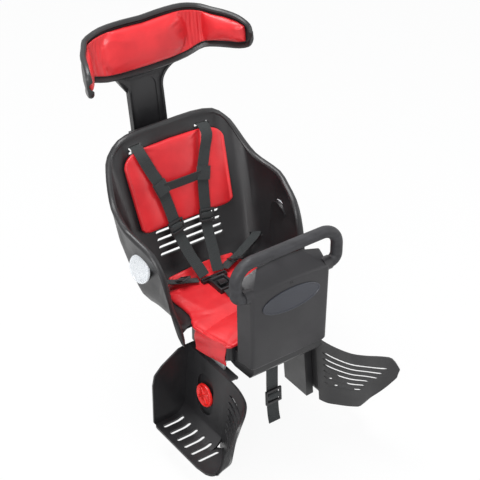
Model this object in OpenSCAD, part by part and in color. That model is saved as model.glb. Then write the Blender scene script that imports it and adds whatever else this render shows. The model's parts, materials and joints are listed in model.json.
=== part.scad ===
// Rear child bike seat, in millimetres, with +Z up and the front of the seat towards -Y.
// The origin is the centre of the four carrier bolt holes, on the underside of the base frame.

/* [Seat shell] */
// Wall of the moulded seat shell
shell_wall = 4; // [3:0.5:5]
// Height of the pan's upper surface above the carrier
pan_z = 38; // [34:1:44]
// Height of the rim at the middle of the back
back_top_z = 346; // [330:1:370]
// Rim's distance behind the origin at the middle of the back
back_top_y = 211; // [205:1:225]
// Half of the shell's width across the widest part of the rim
side_half_w = 182; // [176:1:190]
// Half of the flat pan's width
pan_half_w = 105; // [100:1:108]
// Radius of the rolled bead along the rim
rim_r = 7; // [6:0.5:8]
// Extra depth of the shell's outer form behind the back and its corners
back_depth = 15; // [10:1:18]
// Half of the nose's width where it leaves the pan
nose_half_w = 116; // [114:0.5:118]
// Half of the nose's width at its front
nose_front_half_w = 100; // [96:1:104]
// Distance of the nose's front face ahead of the origin
nose_front_y = 150; // [146:1:152]
// Depth of the nose's skirts below the pan's upper surface
skirt_depth = 32; // [28:1:34]

/* [Shell openings] */
// Number of rows of vents in the lower back
vent_rows = 4; // [2:1:4]
// Half of a vent's length
vent_half_w = 78; // [60:1:84]
// Height of a vent
vent_h = 7; // [5:0.5:8]
// Distance from one vent row to the next
vent_pitch = 15; // [13:0.5:16]
// Height of the lowest vent's centre
vent_z = 98; // [94:1:104]
// Half of the distance between the shoulder strap slots
strap_slot_x = 80; // [74:1:86]
// Height of the shoulder strap slots' centres
strap_slot_z = 318; // [312:1:320]

/* [Pads] */
// Thickness of the seat pad
seat_pad_t = 12; // [10:0.5:14]
// Length of the side flaps below the seat pad's top
flap_drop = 60; // [50:1:60]
// Thickness of a side flap
flap_t = 4; // [3:0.5:5]
// Thickness of the back pad at the valleys between its lobes
back_pad_t = 10; // [8:0.5:12]
// Extra thickness at the middle of a back pad lobe
back_pad_lobe = 5; // [3:0.5:6]
// Thickness of the headrest pad
head_pad_t = 14; // [11:0.5:16]
// Gap between a soft pad and the shell it lies on
pad_gap = 0.4; // [0.3:0.1:0.8]

/* [Headrest] */
// Backward lean of the headrest post, in degrees
post_lean = 9; // [8:0.5:10]
// Width of the post
post_w = 80; // [70:1:88]
// Thickness of the post
post_t = 14; // [13:0.5:18]
// Length of post below the guide's mouth
post_below = 150; // [135:1:165]
// Height of the guide's mouth
guide_top_z = 302; // [298:1:304]
// Length of the guide channel
guide_len = 122; // [110:1:126]
// Wall of the guide
guide_wall = 4; // [3:0.5:5]
// Gap on each side of the post in its guide
post_gap = 0.3; // [0.25:0.05:0.4]
// Wall of the headrest shell
head_wall = 4; // [3:0.5:5]
// Radius of the bead round the headrest shell
head_rim_r = 6; // [5:0.5:7]
// Half of the headrest's width over its wing tips
head_half_w = 185; // [180:1:190]
// Height of the headrest's top at the middle
head_top_z = 550; // [545:1:556]
// Height of the headrest's bottom at the middle
head_low_z = 430; // [426:1:434]

/* [Front panel] */
// Half of the panel's front width
panel_half_w = 94; // [90:1:98]
// Height of the panel's lower edge
panel_low_z = 20; // [20:1:20]
// Height of the panel's upper front edge
panel_top_z = 206; // [196:1:212]
// Rise of the panel's top from front to rear
panel_rise = 28; // [20:1:32]
// Distance of the panel's front face ahead of the origin
panel_front_y = 218; // [216:1:222]
// Depth of the panel from front to rear
panel_depth = 38; // [36:1:40]
// Wall of the panel
panel_wall = 3; // [2.5:0.5:4]
// Rounding of the panel's edges
panel_r = 9; // [7:0.5:10]
// Width of the oval badge
badge_w = 136; // [120:1:140]
// Height of the oval badge
badge_h = 52; // [44:1:56]

/* [Grip bar] */
// Outer diameter of the grip's steel tube
bar_d = 20; // [18:0.5:21]
// Wall of the steel tube
bar_wall = 2; // [1.5:0.5:3]
// Outer diameter of the grip sleeve
sleeve_d = 24; // [23.5:0.5:27]
// Half of the distance between the grip's uprights
bar_half_w = 119; // [117:1:124]
// Height of the grip's upper centre line
bar_top_z = 269; // [262:1:276]

/* [Base frame and stays] */
// Thickness of the steel base plate
plate_t = 3; // [2.5:0.5:4]
// Hole distance across the seat in the carrier bolt pattern
carrier_dx = 100; // [90:1:104]
// Hole distance along the seat in the carrier bolt pattern
carrier_dy = 120; // [110:1:126]
// Diameter of a carrier bolt hole
carrier_hole_d = 6.6; // [5.5:0.1:8.4]
// Thickness of the flat steel stays
stay_t = 4; // [3:0.5:4.5]
// Width of a stay
stay_w = 68; // [60:1:70]
// Length of a stay below its bend
stay_len = 182; // [172:1:186]
// Outward lean of the stays, in degrees
stay_lean = 5; // [4:0.5:6]
// Width of the slot along a stay
stay_slot_w = 10; // [9:0.5:12]

/* [Footrests] */
// Height of the footrest's sole above the carrier, below it if negative
sole_z = -193; // [-197:1:-190]
// Thickness of the sole
sole_t = 5; // [4:0.5:6]
// Distance of the sole's outer edge from the middle
sole_out_x = 202; // [194:1:208]
// Wall of the footrest
foot_wall = 4; // [3:0.5:4.5]
// Height of the footrest's upper rim, below the carrier if negative
foot_top_z = -20; // [-24:1:-20]
// Distance of the heel wall ahead of the origin
heel_y = 27; // [24:1:32]
// Distance of the sole's front edge ahead of the origin
sole_front_y = 228; // [222:1:234]
// Downward travel of a footrest along its stay
foot_travel = 60; // [40:1:60]
// Diameter of the round footrest button
foot_button_d = 50; // [46:0.5:52]
// Inward travel of a footrest button
foot_button_travel = 3.5; // [3:0.5:3.5]

/* [Harness] */
// Width of the harness webbing
web_w = 25; // [22:0.5:26]
// Thickness of the harness webbing
web_t = 2; // [1.5:0.1:2]
// Width of the safety strap
safety_w = 28; // [25:0.5:30]
// Length of the buckle
buckle_l = 46; // [42:1:50]
// Width of the buckle
buckle_w = 38; // [34:1:42]
// Thickness of the buckle
buckle_t = 13; // [12:0.5:15]

/* [Reflectors] */
// Diameter of a side reflector
reflector_d = 60; // [54:1:64]
// Thickness of a side reflector
reflector_t = 6; // [5:0.5:8]

/* [Hidden] */
$fn = 32;
seat_gap = 0.3;
plastic = [0.16, 0.16, 0.17];
dark_plastic = [0.1, 0.1, 0.11];
red_vinyl = [0.8, 0.1, 0.14];
webbing = [0.14, 0.16, 0.17];
steel = [0.72, 0.73, 0.74];
button_red = [0.85, 0.1, 0.1];

// Rim, wall foot and pan edge of the right half of the shell, from the middle of the back round to
// the front lobe: rim x, y, z, then wall foot x, y, then pan edge x, y, z, then fillet height.
wall_foot_x = pan_half_w + 37;
shell_stations = [
    [0, back_top_y, back_top_z, 0, 97, 0, 66, pan_z, 30],
    [66, back_top_y, back_top_z, 60, 97, 52, 66, pan_z, 30],
    [112, back_top_y - 7, back_top_z - 5, 95, 96, 78, 65, pan_z, 32],
    [138, back_top_y - 14, back_top_z - 26, 118, 90, 90, 62, pan_z, 34],
    [side_half_w - 32, back_top_y - 28, back_top_z - 48, wall_foot_x - 12, 81, pan_half_w - 8, 56, pan_z, 36],
    [side_half_w - 22, back_top_y - 48, back_top_z - 76, wall_foot_x - 5, 71, pan_half_w - 4, 48, pan_z, 38],
    [side_half_w - 13, back_top_y - 73, back_top_z - 99, wall_foot_x - 2, 62, pan_half_w - 2, 40, pan_z, 40],
    [side_half_w - 6, back_top_y - 103, back_top_z - 107, wall_foot_x - 1, 54, pan_half_w - 1, 32, pan_z, 40],
    [side_half_w, 71, back_top_z - 114, wall_foot_x, 42, pan_half_w, 22, pan_z, 40],
    [side_half_w - 5, 39, back_top_z - 125, wall_foot_x, 24, pan_half_w + 1, 10, pan_z, 40],
    [side_half_w - 13, 2, back_top_z - 140, wall_foot_x, 0, pan_half_w + 2, -4, pan_z, 40],
    [side_half_w - 18, -21, back_top_z - 167, wall_foot_x, -18, pan_half_w + 4, -18, pan_z, 40],
    [side_half_w - 21, -35, pan_z + 103, wall_foot_x + 1, -32, pan_half_w + 8, -32, pan_z, 38],
    [side_half_w - 25, -44, pan_z + 62, wall_foot_x + 4, -42, pan_half_w + 17, -44, pan_z, 34],
    [side_half_w - 28, -54, pan_z + 36, wall_foot_x + 8, -54, wall_foot_x - 2, -52, pan_z - 4, 30],
    [side_half_w - 29, -67, pan_z + 14, wall_foot_x + 8, -65, wall_foot_x + 5, -62, pan_z - 16, 20],
    [side_half_w - 30, -78, pan_z - 9, wall_foot_x + 7, -77, wall_foot_x + 6, -75, pan_z - 16, 4]];
half_steps = 32;
floor_last = 13;

function lerp(a, b, t) = a + (b - a) * t;
function unit(v) = v / norm(v);
function smooth_at(p, u) =
    let (i = min(floor(u), len(p) - 2), t = u - i)
    let (a = p[max(i - 1, 0)], b = p[i], c = p[i + 1], d = p[min(i + 2, len(p) - 1)])
    0.5 * (2 * b + (c - a) * t + (2 * a - 5 * b + 4 * c - d) * t * t + (3 * b - a - 3 * c + d) * t * t * t);
function smooth(p, n) = [for (k = [0 : n]) smooth_at(p, k * (len(p) - 1) / n)];
function mirror_x(p) = [-p[0], p[1], p[2]];

// Station u of the shell, where a negative u is the left half.
function station(u) = smooth_at(shell_stations, abs(u));
function shell_normal(u) =
    let (a = smooth_at(shell_stations, max(abs(u) - 0.2, 0)))
    let (b = smooth_at(shell_stations, min(abs(u) + 0.2, len(shell_stations) - 1)))
    unit([a[1] - b[1], b[0] - a[0], 0]);
// Point of the shell at station u: a is the angle up the fillet, then s runs up the wall.
function shell_point(u, a, s, out, down) =
    let (q = station(u), n = shell_normal(u), side = u < 0 ? -1 : 1)
    let (rise = q[2] - q[7] + down, fillet = min(q[8] + down, rise))
    let (z = lerp(fillet * (1 - cos(a)), rise, s))
    let (f = z / rise)
    let (x = lerp(q[5], q[3], sin(a)) + (q[0] - q[3]) * f + n[0] * out)
    let (y = lerp(q[6], q[4], sin(a)) + (q[1] - q[4]) * f + n[1] * out)
    [side * x, y, q[7] - down + z];
function shell_profile(u, out, down) = concat(
    [for (a = [0 : 22.5 : 90]) shell_point(u, a, 0, out + (out > 0 ? outer_depth(u, 0) : 0), down)],
    [for (s = [0.28 : 0.28 : 0.84])
        shell_point(u, 90, s, out + (out > 0 ? outer_depth(u, s) : 0), down)]);
// Outer form's extra depth at station u and share s of the wall's height.
function outer_depth(u, s) =
    let (f = min(1, max(0, (8.6 - abs(u)) / 3)))
    back_depth * f * f * (3 - 2 * f) * (0.55 + 0.45 * s);
function reversed(p) = [for (i = [len(p) - 1 : -1 : 0]) p[i]];
// The rolled bead at the top of station u's section, from the inner face over to the outer face.
function rim_bead(u) =
    let (top = shell_point(u, 90, 1, shell_wall / 2, 0), n = shell_normal(u), q = station(u))
    let (r = min(rim_r, 0.3 * (q[2] - q[7])), side = u < 0 ? -1 : 1)
    [for (a = [205 : -32 : -51]) top - [0, 0, r] + r * [side * n[0] * cos(a), n[1] * cos(a), sin(a)]];
function shell_ring(u) = concat(shell_profile(u, 0, 0), rim_bead(u),
    reversed(shell_profile(u, shell_wall, shell_wall)));
// Height z on the shell's wall at station u, as a point of the inner face.
function wall_at(u, z) =
    let (q = station(u), f = (z - q[7]) / (q[2] - q[7]), side = u < 0 ? -1 : 1)
    [side * lerp(q[3], q[0], f), lerp(q[4], q[1], f), z];

// Solid through a row of equal closed rings, capped at both ends or closed on itself.
module loft(rings, closed = false) {
    m = len(rings[0]);
    n = len(rings);
    last = closed ? n - 1 : n - 2;
    sides = [for (i = [0 : last], j = [0 : m - 1])
        let (a = i * m + j, b = i * m + (j + 1) % m)
        let (c = ((i + 1) % n) * m + (j + 1) % m, d = ((i + 1) % n) * m + j)
        each [[a, c, b], [a, d, c]]];
    caps = closed ? [] : [[for (j = [0 : m - 1]) j], [for (j = [m - 1 : -1 : 0]) (n - 1) * m + j]];
    polyhedron([for (r = rings) each r], concat(sides, caps), convexity = 8);
}
// The shell's bowl: rings round the wall, a flat floor between them and open front lobes.
module bowl() {
    us = [for (k = [-half_steps : half_steps]) k * (len(shell_stations) - 1) / half_steps];
    rings = [for (u = us) shell_ring(u)];
    m = len(rings[0]);
    n = len(rings);
    on_floor = [for (i = [0 : n - 1]) if (abs(us[i]) <= floor_last) i];
    first = on_floor[0];
    last = on_floor[len(on_floor) - 1];
    sides = [for (i = [0 : n - 2], j = [0 : m - 1]) if (j < m - 1 || i < first || i >= last)
        let (a = i * m + j, b = i * m + (j + 1) % m)
        let (c = (i + 1) * m + (j + 1) % m, d = (i + 1) * m + j)
        each [[a, b, c], [a, c, d]]];
    ends = [[for (j = [m - 1 : -1 : 0]) j], [for (j = [0 : m - 1]) (n - 1) * m + j]];
    upper = [for (i = on_floor) i * m];
    lower = [for (i = reversed(on_floor)) i * m + m - 1];
    front = [last * m + m - 1, first * m + m - 1, first * m, last * m];
    polyhedron([for (r = rings) each r], concat(sides, ends, [upper, lower, front]), convexity = 8);
}
// Tube along the points p, with a ring of the given number of sides at each point.
function tube_rings(p, r, sides, closed) = [for (i = [0 : len(p) - 1])
    let (n = len(p))
    let (a = closed ? p[(i + n - 1) % n] : p[max(i - 1, 0)])
    let (b = closed ? p[(i + 1) % n] : p[min(i + 1, n - 1)])
    let (t = unit(b - a))
    let (e = abs(t[2]) > 0.9 ? [0, 1, 0] : [0, 0, 1])
    let (h = unit(cross(t, e)), v = cross(h, t))
    [for (k = [0 : sides - 1]) p[i] + r * (h * cos(k * 360 / sides) - v * sin(k * 360 / sides))]];
// Flat band along the points p, w wide along the direction across and t thick.
function band_rings(p, across, w, t) = [for (i = [0 : len(p) - 1])
    let (d = unit(p[min(i + 1, len(p) - 1)] - p[max(i - 1, 0)]))
    let (n = unit(cross(d, across)), c = cross(n, d))
    [p[i] + c * w / 2 + n * t / 2, p[i] - c * w / 2 + n * t / 2,
     p[i] - c * w / 2 - n * t / 2, p[i] + c * w / 2 - n * t / 2]];
module band(p, across, w, t, steps) {
    loft(band_rings(smooth(p, steps), across, w, t));
}
// Rounded slot of length l and width w, lying along X and cut through along Z.
module slot_cut(l, w, depth) {
    linear_extrude(depth, center = true) {
        square([l - w, w], center = true);
        for (s = [-1, 1]) translate([s * (l - w) / 2, 0]) circle(d = w);
    }
}
// The same slot as one hull, for a moulding that is a mesh anyway.
module moulded_slot(l, w, depth) {
    hull() for (s = [-1, 1]) translate([s * (l - w) / 2, 0]) cylinder(d = w, h = depth, center = true, $fn = 16);
}
module sided(right) {
    mirror([right ? 0 : 1, 0, 0]) children();
}

// Plan of the saddle nose, shrunk by the given amount.
module nose_plan(shrink) {
    offset(r = 14 - shrink) offset(delta = -14)
        polygon([[-nose_half_w, -38], [nose_half_w, -38], [nose_half_w, -58],
            [nose_front_half_w, -nose_front_y], [-nose_front_half_w, -nose_front_y], [-nose_half_w, -58]]);
}

bolt_spots = [[-35, 30], [35, 30], [-35, -96], [35, -96]];
shell_bolt_d = 6;
screw_spots = [[-30, 200], [30, 200], [-30, 262], [30, 262]];
guide_screw_d = 5;
function back_y(z) = wall_at(0, z)[1];
// Rear face of the shell's outer form at the middle of the back, at height z.
function rear_y(z) =
    let (q = station(0), s = (z - q[7] - q[8]) / (q[2] - q[7] - q[8]))
    back_y(z) + (shell_wall + outer_depth(0, s)) / cos(back_slope) + 0.3;
back_slope = atan((back_top_y - 97) / (back_top_z - pan_z));
reflector_at = wall_at(8.6, 148) + [4.2, 0, 0];
reflector_tilt = 10;
reflector_turn = -5;
crotch_y = -26;
lap_slot_u = 5;
lap_slot_z = 84;

// Pocket in the outer face of the back, from height z0 to z1, which leaves one thin wall there.
module back_pocket(x, w, z0, z1) {
    translate([x, 97, pan_z]) rotate([-back_slope, 0, 0])
        translate([-w / 2, shell_wall + 0.6, (z0 - pan_z) / cos(back_slope)])
            cube([w, 40, (z1 - z0) / cos(back_slope)]);
}

module reflector_place() {
    translate(reflector_at) rotate([0, 0, reflector_turn]) rotate([0, 90 - reflector_tilt, 0]) children();
}

module seat_shell() {
    color(plastic) difference() {
        union() {
            bowl();
            difference() {
                translate([0, 0, pan_z - skirt_depth]) linear_extrude(skirt_depth) nose_plan(0);
                translate([0, 0, pan_z - skirt_depth - 1]) linear_extrude(skirt_depth + 1 - shell_wall)
                    nose_plan(shell_wall);
                translate([0, -31, pan_z - skirt_depth - 1])
                    cube([2 * nose_half_w, 30, 2 * (skirt_depth + 1 - shell_wall)], center = true);
            }
            for (s = [-1, 1]) sided(s > 0) reflector_place()
                translate([0, 0, shell_wall - 6]) cylinder(d = reflector_d - 6, h = 7, $fn = 48);
        }
        for (i = [0 : vent_rows - 1]) translate([0, back_y(vent_z), vent_z + i * vent_pitch])
            rotate([90, 0, 0]) moulded_slot(2 * vent_half_w, vent_h, 90);
        for (s = [-1, 1]) {
            translate([s * strap_slot_x, back_y(strap_slot_z), strap_slot_z]) rotate([90, 0, 0])
                moulded_slot(web_w + 9, 9, 80);
            translate([s * (strap_slot_x + 9), back_y(strap_slot_z), strap_slot_z - 9]) rotate([90, 0, 0])
                moulded_slot(web_w - 6, 9, 80);
        }
        back_pocket(0, 2 * vent_half_w + 26, vent_z - 15, vent_z + (vent_rows - 1) * vent_pitch + 12);
        for (s = [-1, 1]) back_pocket(s * (strap_slot_x + 1), 44, strap_slot_z - 24, strap_slot_z + 8);
        for (s = [-1, 1]) sided(s > 0) translate(wall_at(lap_slot_u, lap_slot_z)) rotate([-14, -25, 37])
            cube([70, web_w + 3, 5.6], center = true);
        translate([0, crotch_y, pan_z]) moulded_slot(web_w + 7, 6, 20);
        for (p = bolt_spots) translate([p[0], p[1], pan_z]) cylinder(d = shell_bolt_d + 0.8, h = 20, center = true);
        for (p = screw_spots) translate([p[0], rear_y(p[1]) + seat_gap, p[1]]) rotate([90 - back_slope, 0, 0])
            cylinder(d = guide_screw_d + 0.4, h = 90, center = true);
        for (s = [-1, 1]) sided(s > 0) reflector_place()
            translate([0, 0, shell_wall + 1]) cylinder(d = reflector_d + 1, h = 24, $fn = 48);
    }
}

// Outline of the right half of the seat pad, from its rear middle to its front middle.
pad_outline = [[0, 60], [62, 59], [84, 52], [94, 38], [100, 20], [102, 2], [103, -16], [107, -30],
    [116, -46], [nose_half_w + flap_t + 1, -60], [nose_front_half_w + flap_t + 1, -nose_front_y + 6],
    [nose_front_half_w - 4, -nose_front_y - flap_t - 1], [0, -nose_front_y - flap_t - 1]];

module seat_pad() {
    z0 = pan_z + pad_gap;
    color(red_vinyl) difference() {
        union() {
            translate([0, 0, z0]) linear_extrude(seat_pad_t)
                polygon(concat(pad_outline, [for (p = reversed(pad_outline)) [-p[0], p[1]]]));
            for (s = [-1, 1]) sided(s > 0) translate([0, 0, z0 + seat_pad_t - flap_drop])
                linear_extrude(flap_drop) polygon([
                    [nose_half_w + pad_gap + 0.6, -62], [nose_half_w + flap_t + 1, -60],
                    [nose_front_half_w + flap_t + 1, -nose_front_y + 6],
                    [nose_front_half_w + pad_gap + 2.4, -nose_front_y + 8]]);
            translate([-70, -nose_front_y - flap_t - 1, z0 - 6]) cube([140, flap_t, 8]);
        }
        translate([0, crotch_y, z0]) slot_cut(web_w + 5, 5, 60);
        for (p = bolt_spots) translate([p[0], p[1], z0 - 1]) cylinder(d = 14, h = 4);
    }
}

// Front offset of the back pad at the across position f from -1 to 1, with three lobes.
function lobe(f) = back_pad_t + back_pad_lobe * abs(cos(f * 270)) * (1 - pow(abs(f), 6));

module back_pad() {
    u_side = 2.35;
    low = 150;
    high = back_top_z - 32;
    rows = 6;
    rings = [for (k = [-12 : 12])
        let (f = k / 12, u = f * u_side)
        let (drop = 14 * pow(abs(f), 6))
        let (z0 = low + drop, z1 = high - 6 * abs(f) - 1.5 * drop)
        concat(
            [for (i = [0 : rows]) wall_at(u, lerp(z0, z1, i / rows)) - [0, pad_gap + 0.3 + 3.4 * pow(abs(f), 3), 0]],
            [for (i = [rows : -1 : 0]) wall_at(u, lerp(z0 + 3, z1 - 3, i / rows)) - [0, pad_gap + lobe(f), 0]])];
    color(red_vinyl) loft(rings);
}

module base_frame() {
    color(steel) difference() {
        union() {
            linear_extrude(plate_t) {
                translate([-70, -82]) square([140, 172]);
                translate([-87, -146]) square([174, 82]);
            }
            for (p = bolt_spots) translate([p[0], p[1], 0]) cylinder(r = 9, h = pan_z - shell_wall - seat_gap);
            for (s = [-1, 1]) translate([s * 70 - 2, -60, 0]) cube([4, 146, 14]);
        }
        for (x = [-1, 1], y = [-1, 1]) translate([x * carrier_dx / 2, y * carrier_dy / 2, -1])
            cylinder(d = carrier_hole_d, h = plate_t + 2);
        for (p = bolt_spots) translate([p[0], p[1], -1]) cylinder(d = shell_bolt_d + 0.06, h = pan_z);
        for (x = [-1, 1], y = stay_bolt_ys) translate([x * stay_bolt_x, y, -1])
            cylinder(d = stay_bolt_d + 0.06, h = plate_t + 2);
    }
}

module shell_bolts() {
    color(steel) for (p = bolt_spots) translate([p[0], p[1], 0]) {
        translate([0, 0, 8]) cylinder(d = shell_bolt_d, h = pan_z - 8);
        translate([0, 0, pan_z + 0.05]) cylinder(d = 12, h = 1.6);
        translate([0, 0, pan_z - 0.5]) cylinder(d = shell_bolt_d, h = 1);
    }
}

stay_x = 98;
stay_z = -5;
stay_y = -104;
stay_bolt_x = 74;
stay_bolt_ys = [-122, -86];
stay_bolt_d = 6;
// Frame of the right stay: z along the stay, x outwards, through the stay's middle.
module stay_frame() {
    translate([stay_x, stay_y, stay_z]) rotate([0, -stay_lean, 0]) children();
}

// Point of the right stay's section: side is -1 or 1, and along runs down it.
function stay_point(side, along) = [
    stay_x + along * sin(stay_lean) + side * stay_t / 2 * cos(stay_lean),
    stay_z - along * cos(stay_lean) + side * stay_t / 2 * sin(stay_lean)];

module stay(right) {
    color(steel) sided(right) difference() {
        translate([0, stay_y, 0]) rotate([90, 0, 0]) linear_extrude(stay_w, center = true) polygon([
            [62, plate_t], [88, plate_t], stay_point(-1, 1.5), stay_point(-1, stay_len),
            stay_point(1, stay_len), stay_point(1, -2), [90, plate_t + stay_t], [62, plate_t + stay_t]]);
        stay_frame() translate([0, foot_button_y, foot_button_z + 20 - (foot_travel + 29) / 2])
            rotate([0, 90, 0]) slot_cut(foot_travel + 29, stay_slot_w, 20);
        for (y = stay_bolt_ys) translate([stay_bolt_x, y, 0]) cylinder(d = stay_bolt_d + 0.06, h = 20);
    }
}

module stay_bolts() {
    color(steel) for (s = [-1, 1], y = stay_bolt_ys) translate([s * stay_bolt_x, y, 0]) {
        cylinder(d = stay_bolt_d, h = plate_t + stay_t + 0.05);
        translate([0, 0, plate_t + stay_t + 0.05]) cylinder(d = 11, h = 4, $fn = 6);
    }
}

// Headrest: path of the shell's middle line, with the lower and upper edge at each point.
head_wall_y = 281;
head_path = [
    [0, head_wall_y, head_low_z, head_top_z - 2],
    [50, head_wall_y, head_low_z + 1, head_top_z],
    [95, head_wall_y - 2, head_low_z + 6, head_top_z - 1],
    [130, head_wall_y - 9, head_low_z + 18, head_top_z - 8],
    [head_half_w - 38, head_wall_y - 30, head_low_z + 24, head_top_z - 12],
    [head_half_w - 22, head_wall_y - 54, head_low_z + 27, head_top_z - 14],
    [head_half_w - 10, head_wall_y - 83, head_low_z + 33, head_top_z - 17],
    [head_half_w - 2, head_wall_y - 104, head_low_z + 43, head_top_z - 26],
    [head_half_w, head_wall_y - 110, head_low_z + 54, head_top_z - 37]];
head_steps = 20;
head_mid_z = (head_low_z + head_top_z) / 2;
function head_station(u) = smooth_at(head_path, abs(u));
function head_normal(u) =
    let (a = head_station(max(abs(u) - 0.1, 0)), b = head_station(min(abs(u) + 0.1, len(head_path) - 1)))
    unit([a[1] - b[1], b[0] - a[0], 0]);
// Point of the headrest wall at station u and height share f, moved outwards by out.
function head_point(u, f, out) =
    let (q = head_station(u), n = head_normal(u), side = u < 0 ? -1 : 1)
    let (z = lerp(q[2], q[3], f), hollow = 5 * (1 - pow(2 * f - 1, 2)))
    [side * (q[0] + n[0] * (out + hollow)),
     q[1] + n[1] * (out + hollow) + (z - head_mid_z) * tan(post_lean), z];
// Closed section of the headrest shell at station u, with a rolled bead above and below.
function head_ring(u) =
    let (q = head_station(u), n = head_normal(u), side = u < 0 ? -1 : 1)
    let (r = min(head_rim_r, 0.3 * (q[3] - q[2])), m = 2 * r / (q[3] - q[2]))
    let (hi = head_point(u, 1, head_wall / 2) - [0, 0, r], lo = head_point(u, 0, head_wall / 2) + [0, 0, r])
    concat([for (f = [m, 0.35, 0.65, 1 - m]) head_point(u, f, 0)],
        [for (a = [190 : -40 : -10]) hi + r * [side * n[0] * cos(a), n[1] * cos(a), sin(a)]],
        [for (f = [1 - m, 0.65, 0.35, m]) head_point(u, f, head_wall)],
        [for (a = [-10 : -40 : -170]) lo + r * [side * n[0] * cos(a), n[1] * cos(a), sin(a)]]);
function head_us() = [for (k = [-head_steps : head_steps]) k * (len(head_path) - 1) / head_steps];

post_y = 268;
post_z = 328;
// Frame of the post: z along the post, y backwards through its thickness, x across.
module post_frame() {
    translate([0, post_y, post_z]) rotate([-post_lean, 0, 0]) children();
}

module headrest_shell() {
    us = head_us();
    color(plastic) {
        loft([for (u = us) reversed(head_ring(u))]);
        difference() {
            post_frame() {
                translate([-post_w / 2, 0, -post_below]) cube([post_w, post_t, post_below + 108]);
                for (i = [0 : 7]) hull() {
                    translate([0, -2, 96 + 3 * i]) cube([post_w + 10 * i, 1, 1], center = true);
                    translate([0, post_t + 8, 96 + 3 * i]) cube([post_w + 10 * i, 1, 1], center = true);
                    translate([0, post_t - 3, 60]) cube([post_w - 2, 2, 1], center = true);
                }
                translate([-post_w / 2 - 20, -6, 100]) cube([post_w + 40, post_t + 16, 90]);
            }
            post_frame() {
                hull() for (z = [-30, 66]) translate([0, -1, z]) rotate([-90, 0, 0]) cylinder(r = 24, h = 3);
                translate([-(stay_slot_w / 2), post_t - 6, -post_below + 10])
                    cube([stay_slot_w, 10, post_below + 20]);
            }
        }
    }
}

module headrest_pad() {
    us = [for (k = [-head_steps : head_steps]) k * 6.6 / head_steps];
    color(red_vinyl) loft([for (u = us)
        let (t = head_pad_t * (1 - 0.45 * pow(abs(u) / 6.6, 8)))
        let (pinch = abs(abs(u) - 2.5) < 0.55 ? 3 : 0)
        let (tube = head_rim_r + pad_gap)
        let (q = head_station(u), m = tube / (q[3] - q[2]), m2 = 2 * tube / (q[3] - q[2]))
        concat([for (f = [m2, 0.3, 0.5, 0.7, 1 - m2]) head_point(u, f, -pad_gap - 1 - (abs(u) > 6 ? 0.8 : 0))],
            [for (f = [1 - m - 0.02, 0.7, 0.5, 0.3, m + 0.02]) head_point(u, f, -pad_gap - t + pinch)])]);
}

guide_low = guide_top_z - guide_len;
function guide_front_y(z) = post_y + (z - post_z) * tan(post_lean) - (guide_wall + post_gap) / cos(post_lean);
guide_half_w = post_w / 2 + post_gap + guide_wall;
lock_z = -64;
lock_stem_d = 8;
function lock_face() = post_t + post_gap + guide_wall + 10;

module headrest_guide() {
    z1 = guide_top_z - 14;
    color(dark_plastic) difference() {
        union() {
            intersection() {
                post_frame() translate([-guide_half_w, -guide_wall - post_gap, -guide_len - 30])
                    cube([2 * guide_half_w, post_t + 2 * (guide_wall + post_gap), guide_len + 70]);
                translate([-200, 0, guide_low]) cube([400, 400, guide_len]);
            }
            rotate([90, 0, 90]) linear_extrude(2 * guide_half_w, center = true) polygon([
                [rear_y(guide_low) + seat_gap, guide_low], [guide_front_y(guide_low) + 1, guide_low],
                [guide_front_y(guide_top_z) + 1, guide_top_z], [guide_front_y(guide_top_z) - 6, guide_top_z],
                [rear_y(z1) + seat_gap + 6, z1], [rear_y(z1) + seat_gap, z1]]);
            post_frame() translate([0, post_t + post_gap, lock_z]) rotate([-90, 0, 0]) cylinder(d = 26, h = guide_wall + 10);
        }
        post_frame() translate([-post_w / 2 - post_gap, -post_gap, -guide_len - 60])
            cube([post_w + 2 * post_gap, post_t + 2 * post_gap, guide_len + 120]);
        rotate([90, 0, 90]) linear_extrude(2 * (guide_half_w - guide_wall), center = true) polygon([
            [rear_y(guide_low - 1) + seat_gap + guide_wall + 1, guide_low - 1],
            [guide_front_y(guide_low - 1), guide_low - 1],
            [guide_front_y(guide_top_z + 1), guide_top_z + 1],
            [rear_y(guide_top_z + 1) + seat_gap + guide_wall + 1, guide_top_z + 1]]);
        post_frame() translate([0, post_t, lock_z]) rotate([-90, 0, 0]) {
            cylinder(d = lock_stem_d + 0.1, h = 40);
            translate([0, 0, post_gap + guide_wall + 3]) cylinder(d = 18.1, h = 20);
        }
        for (p = screw_spots) translate([p[0], rear_y(p[1]) + seat_gap, p[1]]) rotate([90 - back_slope, 0, 0])
            cylinder(d = guide_screw_d + 0.06, h = 30, center = true);
    }
}

module guide_screws() {
    color(steel) for (p = screw_spots) translate([p[0], rear_y(p[1]) + seat_gap, p[1]]) rotate([90 - back_slope, 0, 0]) {
        translate([0, 0, -guide_wall - 1]) cylinder(d = guide_screw_d, h = guide_wall + 9);
        translate([0, 0, -guide_wall - 4.2]) cylinder(d = 9, h = 3.2);
    }
}

module headrest_button() {
    color(dark_plastic) post_frame() translate([0, post_t + 1, lock_z]) rotate([-90, 0, 0]) {
        cylinder(d = lock_stem_d, h = post_gap + guide_wall + 12);
        translate([0, 0, post_gap + guide_wall + 7]) cylinder(d = 18, h = 8);
    }
}

// Coil spring of the given radius and height, standing along z.
module coil(r, h, wire, turns) {
    steps = turns * 10;
    loft(tube_rings([for (i = [0 : steps]) [r * cos(i * 36), r * sin(i * 36), wire / 2 + (h - wire) * i / steps]],
        wire / 2, 5, false));
}

module headrest_spring() {
    color(steel) post_frame() translate([0, post_t + post_gap + guide_wall + 3.1, lock_z]) rotate([-90, 0, 0])
        coil(6, 4.8, 1, 3);
}

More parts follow.
